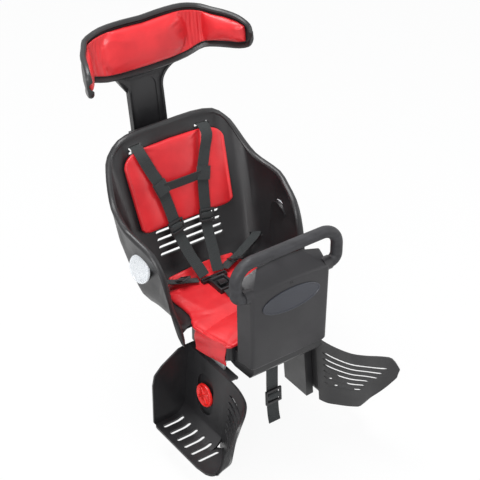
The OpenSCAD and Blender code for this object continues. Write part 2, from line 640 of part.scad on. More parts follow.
// Outer form of the panel, with its edges rounded by r.
module panel_form(r) {
    zr = panel_top_z - panel_r + panel_rise;
    yf = -panel_front_y + panel_r;
    hull() {
        for (s = [-1, 1]) {
            translate([s * (panel_half_w - 3 - panel_r), yf, panel_low_z + panel_r]) sphere(r, $fn = 20);
            translate([s * (panel_half_w - panel_r), yf, panel_top_z - panel_r - 4]) sphere(r, $fn = 20);
            translate([s * (panel_half_w + 3 - panel_r), yf + 40, panel_low_z + panel_r]) sphere(r, $fn = 20);
            translate([s * (panel_half_w + 6 - panel_r), yf + 40, zr - 16]) sphere(r, $fn = 20);
            translate([s * panel_half_w / 2, yf + 40, zr - 2]) sphere(r, $fn = 20);
        }
        translate([0, yf, panel_top_z - panel_r + 2]) sphere(r, $fn = 20);
        translate([0, yf + 40, zr + 2]) sphere(r, $fn = 20);
    }
}
cover_y = -panel_front_y + panel_depth;
panel_screw_d = 4;
panel_screws_at = [[-70, 44], [70, 44], [-70, 186], [70, 186]];
bar_y = -panel_front_y + 16;
bar_end_z = panel_top_z - 12;
collar_x = panel_half_w + 8;

module front_panel() {
    color(plastic) difference() {
        union() {
            difference() {
                panel_form(panel_r);
                panel_form(panel_r - panel_wall);
                translate([-200, cover_y, -50]) cube([400, 100, 400]);
            }
            for (s = [-1, 1]) translate([s * collar_x, bar_y, bar_end_z]) rotate([0, -90 * s, 0])
                cylinder(d = sleeve_d + 4, h = 18);
            for (p = panel_screws_at) translate([p[0], cover_y, p[1]]) rotate([90, 0, 0])
                cylinder(d = 9, h = panel_depth - panel_wall + 0.5);
        }
        for (s = [-1, 1]) translate([s * (collar_x + 1), bar_y, bar_end_z]) rotate([0, -90 * s, 0])
            cylinder(d = bar_d + 0.06, h = 30);
        for (p = panel_screws_at) translate([p[0], cover_y + 1, p[1]]) rotate([90, 0, 0])
            cylinder(d = panel_screw_d + 0.06, h = 16);
    }
}

module panel_rear_cover() {
    color(dark_plastic) difference() {
        intersection() {
            panel_form(panel_r);
            translate([-200, cover_y, -50]) cube([400, panel_wall, 400]);
        }
        for (p = panel_screws_at) translate([p[0], cover_y + 10, p[1]]) rotate([90, 0, 0])
            cylinder(d = panel_screw_d + 0.06, h = 30);
    }
}

module panel_screws() {
    color(steel) for (p = panel_screws_at) translate([p[0], cover_y + panel_wall + 0.05, p[1]]) rotate([90, 0, 0]) {
        cylinder(d = panel_screw_d, h = 14);
        translate([0, 0, -2.4]) cylinder(d = 8, h = 2.4);
    }
}

module panel_bracket() {
    half = 84;
    y_low = -panel_front_y + 6;
    color(dark_plastic) difference() {
        rotate([90, 0, 90]) linear_extrude(2 * half, center = true) polygon([
            [-nose_front_y, 30], [cover_y + panel_wall + 0.3, 30],
            [cover_y + panel_wall + 0.3, panel_low_z], [y_low, panel_low_z], [y_low, 6], [y_low + 12, -9],
            [-nose_front_y, -12], [-118, -4], [-118, 0], [-nose_front_y, 0]]);
        rotate([90, 0, 90]) linear_extrude(2 * half - 8, center = true) polygon([
            [-nose_front_y - 4, 26], [cover_y + panel_wall - 3.7, 26],
            [cover_y + panel_wall - 3.7, panel_low_z - 4], [y_low + 4, panel_low_z - 4], [y_low + 4, 6],
            [y_low + 14, -5], [-nose_front_y - 4, -8]]);
    }
}

module badge_plate() {
    color(dark_plastic) translate([0, -panel_front_y, 160]) rotate([90, 0, 0]) linear_extrude(2.5)
        polygon([for (a = [0 : 7.5 : 352.5]) [badge_w / 2 * cos(a), badge_h / 2 * sin(a)]]);
}

low_bend = bar_half_w - collar_x;
top_bend = 38;
// Solid round bar of diameter d along the grip's centre line.
module grip_solid(d) {
    z1 = bar_end_z + low_bend;
    z2 = bar_top_z - top_bend;
    for (s = [-1, 1]) sided(s > 0) {
        translate([collar_x, bar_y, z1]) rotate([90, 0, 0]) rotate([0, 0, -90])
            rotate_extrude(angle = 90) translate([low_bend, 0]) circle(d = d);
        translate([bar_half_w, bar_y, z1]) cylinder(d = d, h = z2 - z1);
        translate([bar_half_w - top_bend, bar_y, z2]) rotate([90, 0, 0])
            rotate_extrude(angle = 90) translate([top_bend, 0]) circle(d = d);
    }
    translate([0, bar_y, bar_top_z]) rotate([0, 90, 0])
        cylinder(d = d, h = 2 * (bar_half_w - top_bend), center = true);
}

// Centre line of the steel tube from one end inside the panel round to the other.
function bar_path(inset) =
    let (z1 = bar_end_z + low_bend, z2 = bar_top_z - top_bend)
    let (half = concat([[collar_x - inset, bar_y, bar_end_z]],
        [for (a = [0 : 7.5 : 90]) [collar_x + low_bend * sin(a), bar_y, z1 - low_bend * cos(a)]],
        [for (a = [0 : 7.5 : 90]) [bar_half_w - top_bend * (1 - cos(a)), bar_y, z2 + top_bend * sin(a)]]))
    concat(half, [for (i = [len(half) - 1 : -1 : 0]) mirror_x(half[i])]);
// Rings of radius r round a path that lies in an upright plane across the seat.
function flat_path_rings(p, r) = [for (i = [0 : len(p) - 1])
    let (t = unit(p[min(i + 1, len(p) - 1)] - p[max(i - 1, 0)]))
    [for (a = [0 : 22.5 : 337.5]) p[i] + r * ([-t[2], 0, t[0]] * cos(a) - [0, 1, 0] * sin(a))]];

module grip_bar() {
    color(steel) difference() {
        loft(flat_path_rings(bar_path(12), bar_d / 2 - 0.05));
        loft(flat_path_rings(bar_path(13), bar_d / 2 - bar_wall));
    }
}

module grip_sleeve() {
    color(dark_plastic) difference() {
        grip_solid(sleeve_d);
        grip_solid(bar_d + 0.1);
    }
}

// Foot side face of the right footrest's inner wall at height z.
wall_top_x = 113;
function foot_x(z) = wall_top_x + (foot_top_z - z) * tan(stay_lean);
foot_depth = foot_top_z - sole_z;
// Toe wing's foot side, from the wall round to its tip: lower x, y, z, then upper x, y, z.
toe_y = -160;
wing_stations = [
    [foot_x(sole_z), toe_y, sole_z + 1, foot_x(foot_top_z), toe_y, foot_top_z],
    [foot_x(sole_z) + 6, -178, sole_z + 1, foot_x(foot_top_z) + 1, -182, foot_top_z],
    [foot_x(sole_z) + 19, -sole_front_y + 34, sole_z + 1, foot_x(foot_top_z) + 6, -sole_front_y + 15, foot_top_z + 2],
    [foot_x(sole_z) + 38, -sole_front_y + 14, sole_z + 1, foot_x(foot_top_z) + 18, -sole_front_y - 20, foot_top_z + 4],
    [foot_x(sole_z) + 56, -sole_front_y, sole_z + 3, foot_x(foot_top_z) + 37, -sole_front_y - 45, foot_top_z + 6],
    [foot_x(sole_z) + 57, -sole_front_y - 26, sole_z + 40, foot_x(foot_top_z) + 58, -sole_front_y - 64, foot_top_z + 7],
    [foot_x(sole_z) + 64, -sole_front_y - 55, sole_z + 80, foot_x(foot_top_z) + 78, -sole_front_y - 76, foot_top_z],
    [foot_x(sole_z) + 77, -sole_front_y - 79, sole_z + 121, foot_x(foot_top_z) + 92, -sole_front_y - 84, foot_top_z - 27]];
function wing_at(u) = smooth_at(wing_stations, u);
// Point of the wing at station u and height share f, moved outwards by out.
function wing_point(u, f, out) =
    let (q = wing_at(u), a = wing_at(max(u - 0.1, 0)), b = wing_at(min(u + 0.1, len(wing_stations) - 1)))
    let (d = [lerp(a[0] - b[0], a[3] - b[3], f), lerp(a[1] - b[1], a[4] - b[4], f)])
    let (n = unit([d[1], -d[0]]))
    [lerp(q[0], q[3], f) + n[0] * out, lerp(q[1], q[4], f) + n[1] * out, lerp(q[2], q[5], f)];
wing_steps = 21;

module toe_wing() {
    us = [for (k = [0 : wing_steps]) k * (len(wing_stations) - 1) / wing_steps];
    loft([for (u = us) concat([for (f = [1, 0.66, 0.33, 0]) wing_point(u, f, -foot_wall - 0.3)],
        [for (f = [0, 0.33, 0.66, 1]) wing_point(u, f, 0.3)])]);
}
slot_pitch = 16.5;
// Height share of the wing's station u that lies at height z.
function wing_share(u, z) = let (q = wing_at(u)) (z - q[2]) / (q[5] - q[2]);
// One long slot along the wall and the toe wing, at height z from u0 to u1.
module wing_slot(z, u0, u1) {
    n = 12;
    loft([for (k = [0 : n]) let (u = lerp(u0, u1, k / n), e = (k == 0 || k == n) ? 1.6 : 4)
        [for (c = [[1, -12], [-1, -12], [-1, 12], [1, 12]]) wing_point(u, wing_share(u, z + c[0] * e), c[1])]]);
}

foot_button_y = 6;
foot_button_z = -100;
carriage_x = (wall_top_x - foot_wall - stay_x) * cos(stay_lean) - (foot_top_z - stay_z) * sin(-stay_lean) - 0.3;

foot_fillet = 34;
module sole_plan(shrink) {
    offset(r = 14 - shrink) offset(delta = -14) polygon(concat([
        [foot_x(sole_z) + foot_fillet - 2, -heel_y], [sole_out_x, -heel_y], [sole_out_x, -sole_front_y + 44],
        [sole_out_x - 4, -sole_front_y + 18], [sole_out_x - 14, -sole_front_y]],
        [for (u = [4 : -0.25 : 0]) let (p = wing_at(u)) [p[0] - foot_wall, p[1]]],
        [[foot_x(sole_z) + foot_fillet - 2, toe_y]]));
}
// Section of the inner wall, rounded into the sole with a large fillet.
function wall_section() =
    let (x = foot_x(sole_z + foot_fillet), r = foot_fillet)
    concat([[foot_x(foot_top_z), foot_top_z]],
        [for (a = [180 : 11.25 : 270]) [x + r + r * cos(a), sole_z + sole_t + r + r * sin(a)]],
        [[x + r + 8, sole_z + sole_t], [x + r + 8, sole_z]],
        [for (a = [270 : -11.25 : 180])
            [x + r + (r + foot_wall) * cos(a), sole_z + sole_t + r + (r + sole_t) * sin(a)]],
        [[foot_x(foot_top_z) - foot_wall, foot_top_z]]);

module footrest(right) {
    floor_slots = 6;
    heel_top = foot_top_z;
    color(plastic) sided(right) difference() {
        union() {
            translate([0, 0, sole_z]) linear_extrude(sole_t) sole_plan(0);
            translate([0, -heel_y, 0]) rotate([90, 0, 0]) linear_extrude(-toe_y - heel_y + 4) polygon(wall_section());
            translate([0, -heel_y, 0]) rotate([90, 0, 0]) linear_extrude(foot_wall) offset(r = 10) offset(delta = -10)
                polygon([[foot_x(sole_z) + 16, sole_z], [sole_out_x, sole_z], [sole_out_x - 1, sole_z + 104],
                    [sole_out_x - 6, sole_z + 128], [sole_out_x - 24, sole_z + 146],
                    [foot_x(heel_top) + 24, heel_top - 2], [foot_x(heel_top) + 6, heel_top],
                    [foot_x(heel_top) - 20, heel_top], [foot_x(heel_top) - 20, heel_top - 10],
                    [foot_x(sole_z + 40) - foot_wall, sole_z + 40], [foot_x(sole_z) + 2, sole_z + 12]]);
            translate([foot_x(foot_top_z) - 20, toe_y - 12, foot_top_z - foot_wall])
                cube([20, -toe_y + 12 - heel_y, foot_wall]);
            toe_wing();
            hull() for (y = [-heel_y - 4, toe_y - 8])
                translate([foot_x(foot_top_z) - 20, y, foot_top_z - 4]) sphere(4, $fn = 16);
        }
        stay_frame() {
            translate([-stay_t / 2 - 0.6, -stay_w / 2 - 0.6, -60]) cube([stay_t + 1.2, stay_w + 1.2, 90]);
            hull() for (z = [-79, -118]) translate([0, foot_button_y, z]) rotate([0, 90, 0])
                cylinder(d = foot_button_d + 5, h = 60);
        }
        for (i = [0 : floor_slots - 1]) translate([(foot_x(sole_z) + sole_out_x) / 2, -48 - 25 * i, sole_z])
            moulded_slot(50, 9, 40);
        for (i = [0 : 5]) wing_slot(foot_top_z - 30 - slot_pitch * i, 0.9, 5.9 - 0.3 * i - (i > 2 ? 0.5 : 0));
    }
}

module foot_carriage(right) {
    x1 = carriage_x;
    x0 = -stay_t / 2 - post_gap - 6;
    w = stay_w + 2 * post_gap + 8;
    color(dark_plastic) sided(right) stay_frame() difference() {
        translate([x0, -w / 2, -182]) cube([x1 - x0, w, 157]);
        translate([-stay_t / 2 - post_gap, -stay_w / 2 - post_gap, -200])
            cube([stay_t + 2 * post_gap, stay_w + 2 * post_gap, 240]);
        translate([0, foot_button_y, foot_button_z]) rotate([0, 90, 0])
            cylinder(d = foot_stem_d + 0.1, h = 60, center = true);
        translate([x1 - 4, foot_button_y, foot_button_z]) rotate([0, 90, 0]) cylinder(d = 18, h = 10);
    }
}
foot_stem_d = 8;

module foot_button(right) {
    x1 = carriage_x;
    color(button_red) sided(right) stay_frame() translate([0, foot_button_y, foot_button_z]) rotate([0, 90, 0]) {
        translate([0, 0, -stay_t / 2 - 4]) cylinder(d = foot_stem_d, h = x1 + stay_t / 2 + 9);
        translate([0, 0, x1 + foot_button_travel + 0.5]) cylinder(d = foot_button_d, h = 4);
        translate([0, 0, x1 + foot_button_travel + 4.5]) cylinder(d1 = foot_button_d, d2 = foot_button_d - 4, h = 1.5);
    }
}

module foot_spring(right) {
    color(steel) sided(right) stay_frame() translate([carriage_x - 3.9, foot_button_y, foot_button_z])
        rotate([0, 90, 0]) coil(6.5, foot_button_travel + 4.2, 1, 3);
}

module reflector(right) {
    color("white") sided(right) reflector_place() translate([0, 0, shell_wall + 1.1]) {
        cylinder(d = reflector_d, h = reflector_t - 1.5);
        translate([0, 0, reflector_t - 1.5]) cylinder(d1 = reflector_d, d2 = reflector_d - 5, h = 1.5);
    }
}

// Surface of the back pad at height z, where the shoulder straps lie.
function on_pad_y(z) = back_y(z) - pad_gap - back_pad_t - back_pad_lobe - 3;
shoulder_route = [
    [strap_slot_x, back_y(strap_slot_z) + 14, strap_slot_z + 1],
    [strap_slot_x, back_y(strap_slot_z) - 8, strap_slot_z + 2],
    [strap_slot_x - 2, on_pad_y(305) - 2, 305],
    [65, on_pad_y(272), 272],
    [52, on_pad_y(240), 240],
    [44, on_pad_y(200), 200],
    [38, on_pad_y(160), 160],
    [35, on_pad_y(140), 140],
    [32, on_pad_y(126) - 4, 124],
    [27, 84, 96],
    [20, 62, 74],
    [17, 50, 62]];

module shoulder_strap(right) {
    color(webbing) sided(right) band(shoulder_route, [1, 0, 0], web_w, web_t, 30);
}

chest_z = 235;
chest_x = 51;
module chest_strap() {
    y = on_pad_y(chest_z) - web_t / 2;
    h = 20;
    color(webbing) {
        translate([-chest_x - 18, y - 5.4, chest_z - h / 2]) cube([2 * chest_x + 36, 1.6, h]);
    }
}

lap_route = [wall_at(lap_slot_u, lap_slot_z) + [6, 5, 4], wall_at(lap_slot_u, lap_slot_z) + [-6, -4, -3],
    [104, 76, 66], [80, 66, 57], [52, 58, 55], [32, 52, 56]];
module lap_strap(right) {
    color(webbing) sided(right) band(lap_route, [-0.35, 0.8, -0.2], web_w - 3, web_t, 14);
}

buckle_y = 12;
buckle_z = pan_z + pad_gap + seat_pad_t + 0.6;
buckle_rear_y = buckle_y + buckle_l / 2;
module crotch_strap() {
    y1 = buckle_y - buckle_l / 2 - 0.3;
    z1 = buckle_z + buckle_t / 2;
    color(webbing) band([[0, crotch_y, pan_z - 12], [0, crotch_y, pan_z + 2], [0, crotch_y, buckle_z - 1],
        [0, crotch_y + 3, buckle_z + 4], [0, y1, z1]], [1, 0, 0], web_w, web_t, 12);
}

button_l = 16;
button_w = 18;
module buckle_body() {
    color(dark_plastic) difference() {
        translate([-buckle_w / 2, buckle_y - buckle_l / 2, buckle_z]) cube([buckle_w, buckle_l, buckle_t]);
        translate([-button_w / 2 - 0.3, buckle_y - button_l / 2 - 0.3, buckle_z + buckle_t - 6])
            cube([button_w + 0.6, button_l + 0.6, 10]);
        translate([-12.3, buckle_y + 8.7, buckle_z + 3.7]) cube([24.6, 40, 3.6]);
    }
}

module buckle_tongue() {
    color(dark_plastic) {
        translate([-12, buckle_y + 9, buckle_z + 4]) cube([24, buckle_l / 2 - 8.5, 3]);
        difference() {
            translate([-30, buckle_rear_y + 0.5, buckle_z + 2]) cube([60, 12, 7]);
            for (s = [-1, 1]) translate([s * 17 - 10, buckle_rear_y + 4, buckle_z]) cube([20, 5, 12]);
        }
    }
}

module buckle_button() {
    color(button_red) translate([-button_w / 2, buckle_y - button_l / 2, buckle_z + buckle_t - 3.4])
        cube([button_w, button_l, 4.4]);
}

shoulder_adjust_z = 154;
module adjuster(w, l, t, through) {
    difference() {
        cube([w + 9, t, l], center = true);
        cube([w + 2, through, l + 2], center = true);
    }
}
module strap_adjusters() {
    color(dark_plastic) for (s = [-1, 1])
        translate([s * 37.1, on_pad_y(shoulder_adjust_z) - 0.5, shoulder_adjust_z])
            rotate([-back_slope, 0, 0]) rotate([0, s * 9, 0]) adjuster(web_w, 26, 6.8, web_t + 3);
}

safety_y = -160;
safety_route = [[0, safety_y, -11.75], [0, safety_y - 2, -50], [0, safety_y - 3, -90], [0, safety_y - 5, -130],
    [0, safety_y - 9, -162], [0, safety_y - 14, -180]];
module safety_strap() {
    color(webbing) band(safety_route, [1, 0, 0], safety_w, web_t, 12);
}
module safety_adjuster() {
    color(dark_plastic) translate([0, safety_y - 4.4, -117]) rotate([-3.5, 0, 0])
        adjuster(safety_w, 36, 7, web_t + 2);
}

seat_shell();
seat_pad();
back_pad();
base_frame();
shell_bolts();
stay(false);  // stay_left
stay(true);  // stay_right
stay_bolts();
headrest_shell();
headrest_pad();
headrest_guide();
guide_screws();
headrest_button();
headrest_spring();
front_panel();
panel_rear_cover();
panel_screws();
panel_bracket();
badge_plate();
grip_bar();
grip_sleeve();
footrest(false);  // footrest_left
footrest(true);  // footrest_right
foot_carriage(false);  // foot_carriage_left
foot_carriage(true);  // foot_carriage_right
foot_button(false);  // foot_button_left
foot_button(true);  // foot_button_right
foot_spring(false);  // foot_spring_left
foot_spring(true);  // foot_spring_right
reflector(false);  // reflector_left
reflector(true);  // reflector_right
shoulder_strap(false);  // shoulder_strap_left
shoulder_strap(true);  // shoulder_strap_right
chest_strap();
lap_strap(false);  // lap_strap_left
lap_strap(true);  // lap_strap_right
crotch_strap();
strap_adjusters();
buckle_body();
buckle_tongue();
buckle_button();
safety_strap();
safety_adjuster();
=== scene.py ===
# %% [markdown]
# # A rear child bike seat
# This lesson dresses a finished construction model of a rear child bike seat. The frame, which
# holds every hard piece at its real size and place, is loaded first and stays as it is. Pieces
# whose shape is right get soft edges and a proper finish. Cushions, webbing and small mouldings
# are modelled again in detail and stand for the plain solids.

# %% Load the fixed frame
import json
import math
import bpy
import bmesh
from mathutils import Matrix, Vector, noise

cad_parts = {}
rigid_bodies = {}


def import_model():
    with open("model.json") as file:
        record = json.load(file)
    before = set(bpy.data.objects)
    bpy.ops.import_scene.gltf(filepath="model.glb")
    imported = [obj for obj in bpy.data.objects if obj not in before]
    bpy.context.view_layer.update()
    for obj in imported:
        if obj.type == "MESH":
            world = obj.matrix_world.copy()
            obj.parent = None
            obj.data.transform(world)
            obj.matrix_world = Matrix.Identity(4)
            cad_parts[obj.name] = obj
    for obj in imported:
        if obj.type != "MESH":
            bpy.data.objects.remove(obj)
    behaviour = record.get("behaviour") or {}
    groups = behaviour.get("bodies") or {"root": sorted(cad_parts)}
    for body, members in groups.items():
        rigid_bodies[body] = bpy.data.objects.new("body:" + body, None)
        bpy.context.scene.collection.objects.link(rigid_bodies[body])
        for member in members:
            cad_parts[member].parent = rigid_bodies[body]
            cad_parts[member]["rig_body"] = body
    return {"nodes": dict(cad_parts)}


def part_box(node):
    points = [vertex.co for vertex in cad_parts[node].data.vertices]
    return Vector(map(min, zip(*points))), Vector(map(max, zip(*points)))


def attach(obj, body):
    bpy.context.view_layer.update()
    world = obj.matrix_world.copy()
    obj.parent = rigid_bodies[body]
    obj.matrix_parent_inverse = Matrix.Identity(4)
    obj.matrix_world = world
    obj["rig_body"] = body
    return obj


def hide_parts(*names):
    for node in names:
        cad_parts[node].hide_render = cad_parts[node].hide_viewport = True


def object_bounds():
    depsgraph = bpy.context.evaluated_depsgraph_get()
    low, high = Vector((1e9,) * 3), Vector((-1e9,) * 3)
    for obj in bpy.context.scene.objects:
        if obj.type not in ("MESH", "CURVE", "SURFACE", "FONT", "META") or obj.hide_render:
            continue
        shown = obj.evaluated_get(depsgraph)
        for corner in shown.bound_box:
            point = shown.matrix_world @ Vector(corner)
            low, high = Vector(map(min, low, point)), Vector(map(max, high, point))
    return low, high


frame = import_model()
cad_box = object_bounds()
nodes = frame["nodes"]
scene = bpy.context.scene
body_of_node = {n: o["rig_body"] for n, o in nodes.items()}

# %% [markdown]
# The camera comes first, because it decides which details are worth modelling. The picture was
# taken from the front left and well above, with a long lens from about three metres, so
# upright edges hardly converge.

# %% Camera
def towards(azimuth, elevation):
    a, e = math.radians(azimuth), math.radians(elevation)
    return Vector((math.sin(a) * math.cos(e), -math.cos(a) * math.cos(e), math.sin(e)))

camera = bpy.data.objects.new("camera", bpy.data.cameras.new("camera"))
scene.collection.objects.link(camera)
view_back = towards(-35.5, 34.5)
camera.data.lens = 112.5
camera.data.sensor_width = 36
camera.location = Vector((0, -0.05, 0.2)) + view_back * 2.935
camera.rotation_mode = "QUATERNION"
camera.rotation_quaternion = (-view_back).to_track_quat("-Z", "Y")
camera.data.clip_start, camera.data.clip_end = 0.1, 30
scene.camera = camera
scene.view_settings.view_transform = "Standard"
print("camera at", [round(c, 3) for c in camera.location])

# %% [markdown]
# Soft studio light shows moulded plastic and vinyl best: one very large lamp overhead for the
# broad highlights on the rims, a softer one from the left front, and a weak one from the right.
# The room is white only to the camera and in reflections, so the white backdrop adds no light.

# %% Lamps and room
def lamp(name, at, aim, size, watts):
    data = bpy.data.lights.new(name, "AREA")
    data.shape, data.size, data.energy = "DISK", size, watts
    obj = bpy.data.objects.new(name, data)
    scene.collection.objects.link(obj)
    obj.location = at
    obj.rotation_mode = "QUATERNION"
    obj.rotation_quaternion = (Vector(aim) - Vector(at)).to_track_quat("-Z", "Y")
    return obj

lamp("top_lamp", (-0.3, 0.3, 2.6), (0, 0, 0.2), 1.5, 62)
lamp("key_lamp", (-1.9, -2.0, 1.7), (0, -0.05, 0.15), 1.2, 52)
lamp("fill_lamp", (2.3, -1.4, 0.9), (0, -0.05, 0.15), 1.6, 14)

room = bpy.data.worlds.new("room")
scene.world = room
room.use_nodes = True
room.node_tree.nodes.clear()

def math_node(tree, operation, first, second):
    """first and second are sockets, or a number for the second."""
    node = tree.nodes.new("ShaderNodeMath")
    node.operation = operation
    tree.links.new(first, node.inputs[0])
    if isinstance(second, float):
        node.inputs[1].default_value = second
    else:
        tree.links.new(second, node.inputs[1])
    return node.outputs[0]

def mixed(tree, share, first, second):
    node = tree.nodes.new("ShaderNodeMixShader")
    for socket, source in zip(node.inputs, (share, first, second)):
        tree.links.new(source, socket)
    return node.outputs[0]

def backdrop(tree, colour, strength):
    node = tree.nodes.new("ShaderNodeBackground")
    node.inputs["Color"].default_value = (*colour, 1)
    node.inputs["Strength"].default_value = strength
    return node.outputs[0]

rt = room.node_tree
path = rt.nodes.new("ShaderNodeLightPath")
seen = math_node(rt, "MAXIMUM", path.outputs["Is Camera Ray"], path.outputs["Is Glossy Ray"])
seen = math_node(rt, "MAXIMUM", seen, path.outputs["Is Transmission Ray"])
both = mixed(rt, seen, backdrop(rt, (0.93, 0.96, 1.0), 0.33), backdrop(rt, (1, 1, 1), 1.0))
rt.links.new(both, rt.nodes.new("ShaderNodeOutputWorld").inputs["Surface"])

# %% [markdown]
# The floor is plain and pale. It glows white only to the camera and in reflections, mixed with
# a little of a plain matt surface, so the seat's soft shadow stays and the rest goes white.
# It lies 65 mm under the seat, because the footrests slide 60 mm down their stays.

# %% Floor
FLOOR_Z = cad_box[0].z - 0.065
GLOW_SHARE = 0.93
floor_mesh = bpy.data.meshes.new("floor")
bm = bmesh.new()
bmesh.ops.create_grid(bm, x_segments=1, y_segments=1, size=6)
bmesh.ops.translate(bm, verts=bm.verts, vec=(0, 0, FLOOR_Z))
bm.to_mesh(floor_mesh)
bm.free()
floor = bpy.data.objects.new("floor", floor_mesh)
scene.collection.objects.link(floor)
pale = bpy.data.materials.new("pale_floor")
pale.use_nodes = True
ft = pale.node_tree
matt = ft.nodes["Principled BSDF"]
matt.inputs["Base Color"].default_value = (0.86, 0.86, 0.86, 1)
matt.inputs["Roughness"].default_value = 0.9
matt.inputs["Specular IOR Level"].default_value = 0.1
glow, floor_path = ft.nodes.new("ShaderNodeEmission"), ft.nodes.new("ShaderNodeLightPath")
glow.inputs["Strength"].default_value = 1.0
seen = math_node(ft, "MAXIMUM", floor_path.outputs["Is Camera Ray"],
                 floor_path.outputs["Is Glossy Ray"])
both = mixed(ft, math_node(ft, "MULTIPLY", seen, GLOW_SHARE), matt.outputs[0], glow.outputs[0])
ft.links.new(both, ft.nodes["Material Output"].inputs["Surface"])
floor_mesh.materials.append(pale)
print("floor at", round(FLOOR_Z, 4), "m")

# %% [markdown]
# Every finish is made of the same few parts: a colour that wanders a little, a roughness that
# wanders too, and one or more reliefs. These helpers place those nodes. They read Object
# coordinates, in metres, so a scale of 1000 means about one grain in a millimetre.

# %% Helpers for finishes
def surface(name, roughness, specular=0.5, metallic=0.0):
    mat = bpy.data.materials.new(name)
    mat.use_nodes = True
    shader = mat.node_tree.nodes["Principled BSDF"]
    shader.inputs["Roughness"].default_value = roughness
    shader.inputs["Specular IOR Level"].default_value = specular
    shader.inputs["Metallic"].default_value = metallic
    return mat, mat.node_tree, shader

def place(tree, stretch=(1, 1, 1), uv=False):
    coords, mapping = tree.nodes.new("ShaderNodeTexCoord"), tree.nodes.new("ShaderNodeMapping")
    mapping.inputs["Scale"].default_value = stretch
    tree.links.new(coords.outputs["UV" if uv else "Object"], mapping.inputs["Vector"])
    return mapping.outputs["Vector"]

def speckle(tree, scale, detail=3.0, stretch=(1, 1, 1)):
    tex = tree.nodes.new("ShaderNodeTexNoise")
    tex.inputs["Scale"].default_value = scale
    tex.inputs["Detail"].default_value = detail
    tree.links.new(place(tree, stretch), tex.inputs["Vector"])
    return tex.outputs["Fac"]

def cells(tree, scale, feature="F1"):
    tex = tree.nodes.new("ShaderNodeTexVoronoi")
    tex.feature = feature
    tex.inputs["Scale"].default_value = scale
    tree.links.new(place(tree), tex.inputs["Vector"])
    return tex.outputs["Distance"]

def tint(tree, shader, factor, dark, light, low=0.3, high=0.7):
    ramp = tree.nodes.new("ShaderNodeValToRGB")
    ramp.color_ramp.elements[0].position, ramp.color_ramp.elements[1].position = low, high
    ramp.color_ramp.elements[0].color = (*dark, 1)
    ramp.color_ramp.elements[1].color = (*light, 1)
    tree.links.new(factor, ramp.inputs["Fac"])
    tree.links.new(ramp.outputs["Color"], shader.inputs["Base Color"])

def gloss(tree, shader, factor, low, high):
    spread = tree.nodes.new("ShaderNodeMapRange")
    spread.inputs["From Min"].default_value, spread.inputs["From Max"].default_value = 0.3, 0.7
    spread.inputs["To Min"].default_value, spread.inputs["To Max"].default_value = low, high
    tree.links.new(factor, spread.inputs["Value"])
    tree.links.new(spread.outputs["Result"], shader.inputs["Roughness"])

def relief(tree, shader, *layers):
    before = None
    for height, depth, strength in layers:
        bump = tree.nodes.new("ShaderNodeBump")
        bump.inputs["Distance"].default_value = depth
        bump.inputs["Strength"].default_value = strength
        tree.links.new(height, bump.inputs["Height"])
        if before:
            tree.links.new(before, bump.inputs["Normal"])
        before = bump.outputs["Normal"]
    tree.links.new(before, shader.inputs["Normal"])
print("finish helpers ready")

# %% [markdown]
# The shell, headrest, panel and footrests are moulded in one black plastic. The mould is
# spark-eroded, which leaves a fine pebbled grain and a satin gloss, and big walls wander a
# little where the plastic shrank. Handling polishes some patches and dulls others.

# %% Moulded plastics
def moulded(name, dark, light, low, high, grain=900, depth=0.00012):
    mat, tree, shader = surface(name, low)
    tint(tree, shader, speckle(tree, 7, 4), dark, light)
    gloss(tree, shader, speckle(tree, 26, 5), low, high)
    relief(tree, shader, (speckle(tree, 9, 2), 0.0012, 0.35),
           (cells(tree, grain), depth, 0.55), (speckle(tree, grain * 2.3, 2), depth, 0.3))
    return mat

shell_black = moulded("shell_black", (0.010, 0.0098, 0.0108), (0.0165, 0.016, 0.0175), 0.33, 0.47)
panel_black = moulded("panel_black", (0.0145, 0.0140, 0.0158), (0.0215, 0.0205, 0.0230), 0.40, 0.52)
trim_black = moulded("trim_black", (0.008, 0.008, 0.009), (0.013, 0.013, 0.0145), 0.30, 0.44, 1200)
badge_grey = moulded("badge_grey", (0.020, 0.022, 0.030), (0.040, 0.043, 0.056), 0.34, 0.50,
                     420, 0.0003)
print("plastics:", shell_black.name, panel_black.name, trim_black.name, badge_grey.name)

# %% [markdown]
# The cushions are covered in smooth red vinyl. Vinyl has a leather-like grain of small cells,
# shallow creases where it is pulled round corners, and a thin glossy top layer. The colour is
# clear red and wanders a little in broad patches, deeper in some than in others.

# %% Red vinyl
red_vinyl, st, sh = surface("cover_vinyl", 0.40, 0.45)
tint(st, sh, speckle(st, 14, 4), (0.50, 0.009, 0.015), (0.70, 0.022, 0.028), 0.25, 0.65)
gloss(st, sh, speckle(st, 60, 4), 0.34, 0.50)
sh.inputs["Coat Weight"].default_value = 0.22
sh.inputs["Coat Roughness"].default_value = 0.30
relief(st, sh, (speckle(st, 38, 3, (1, 1, 0.45)), 0.0016, 0.28),
       (cells(st, 620, "SMOOTH_F1"), 0.00016, 0.45))
print("vinyl:", red_vinyl.name)

# %% [markdown]
# Webbing is woven flat from thick yarns. Its pattern must follow the strap round every bend,
# so it reads the strap's own UV map, which is laid out in metres: across the strap in U and
# along it in V. One wave makes the ribs and another the cross yarns, and their product is the
# weave.

# %% Black webbing
def wave(tree, scale, direction):
    tex = tree.nodes.new("ShaderNodeTexWave")
    tex.wave_type, tex.bands_direction, tex.wave_profile = "BANDS", direction, "SIN"
    tex.inputs["Scale"].default_value = scale
    tree.links.new(place(tree, uv=True), tex.inputs["Vector"])
    return tex.outputs["Fac"]

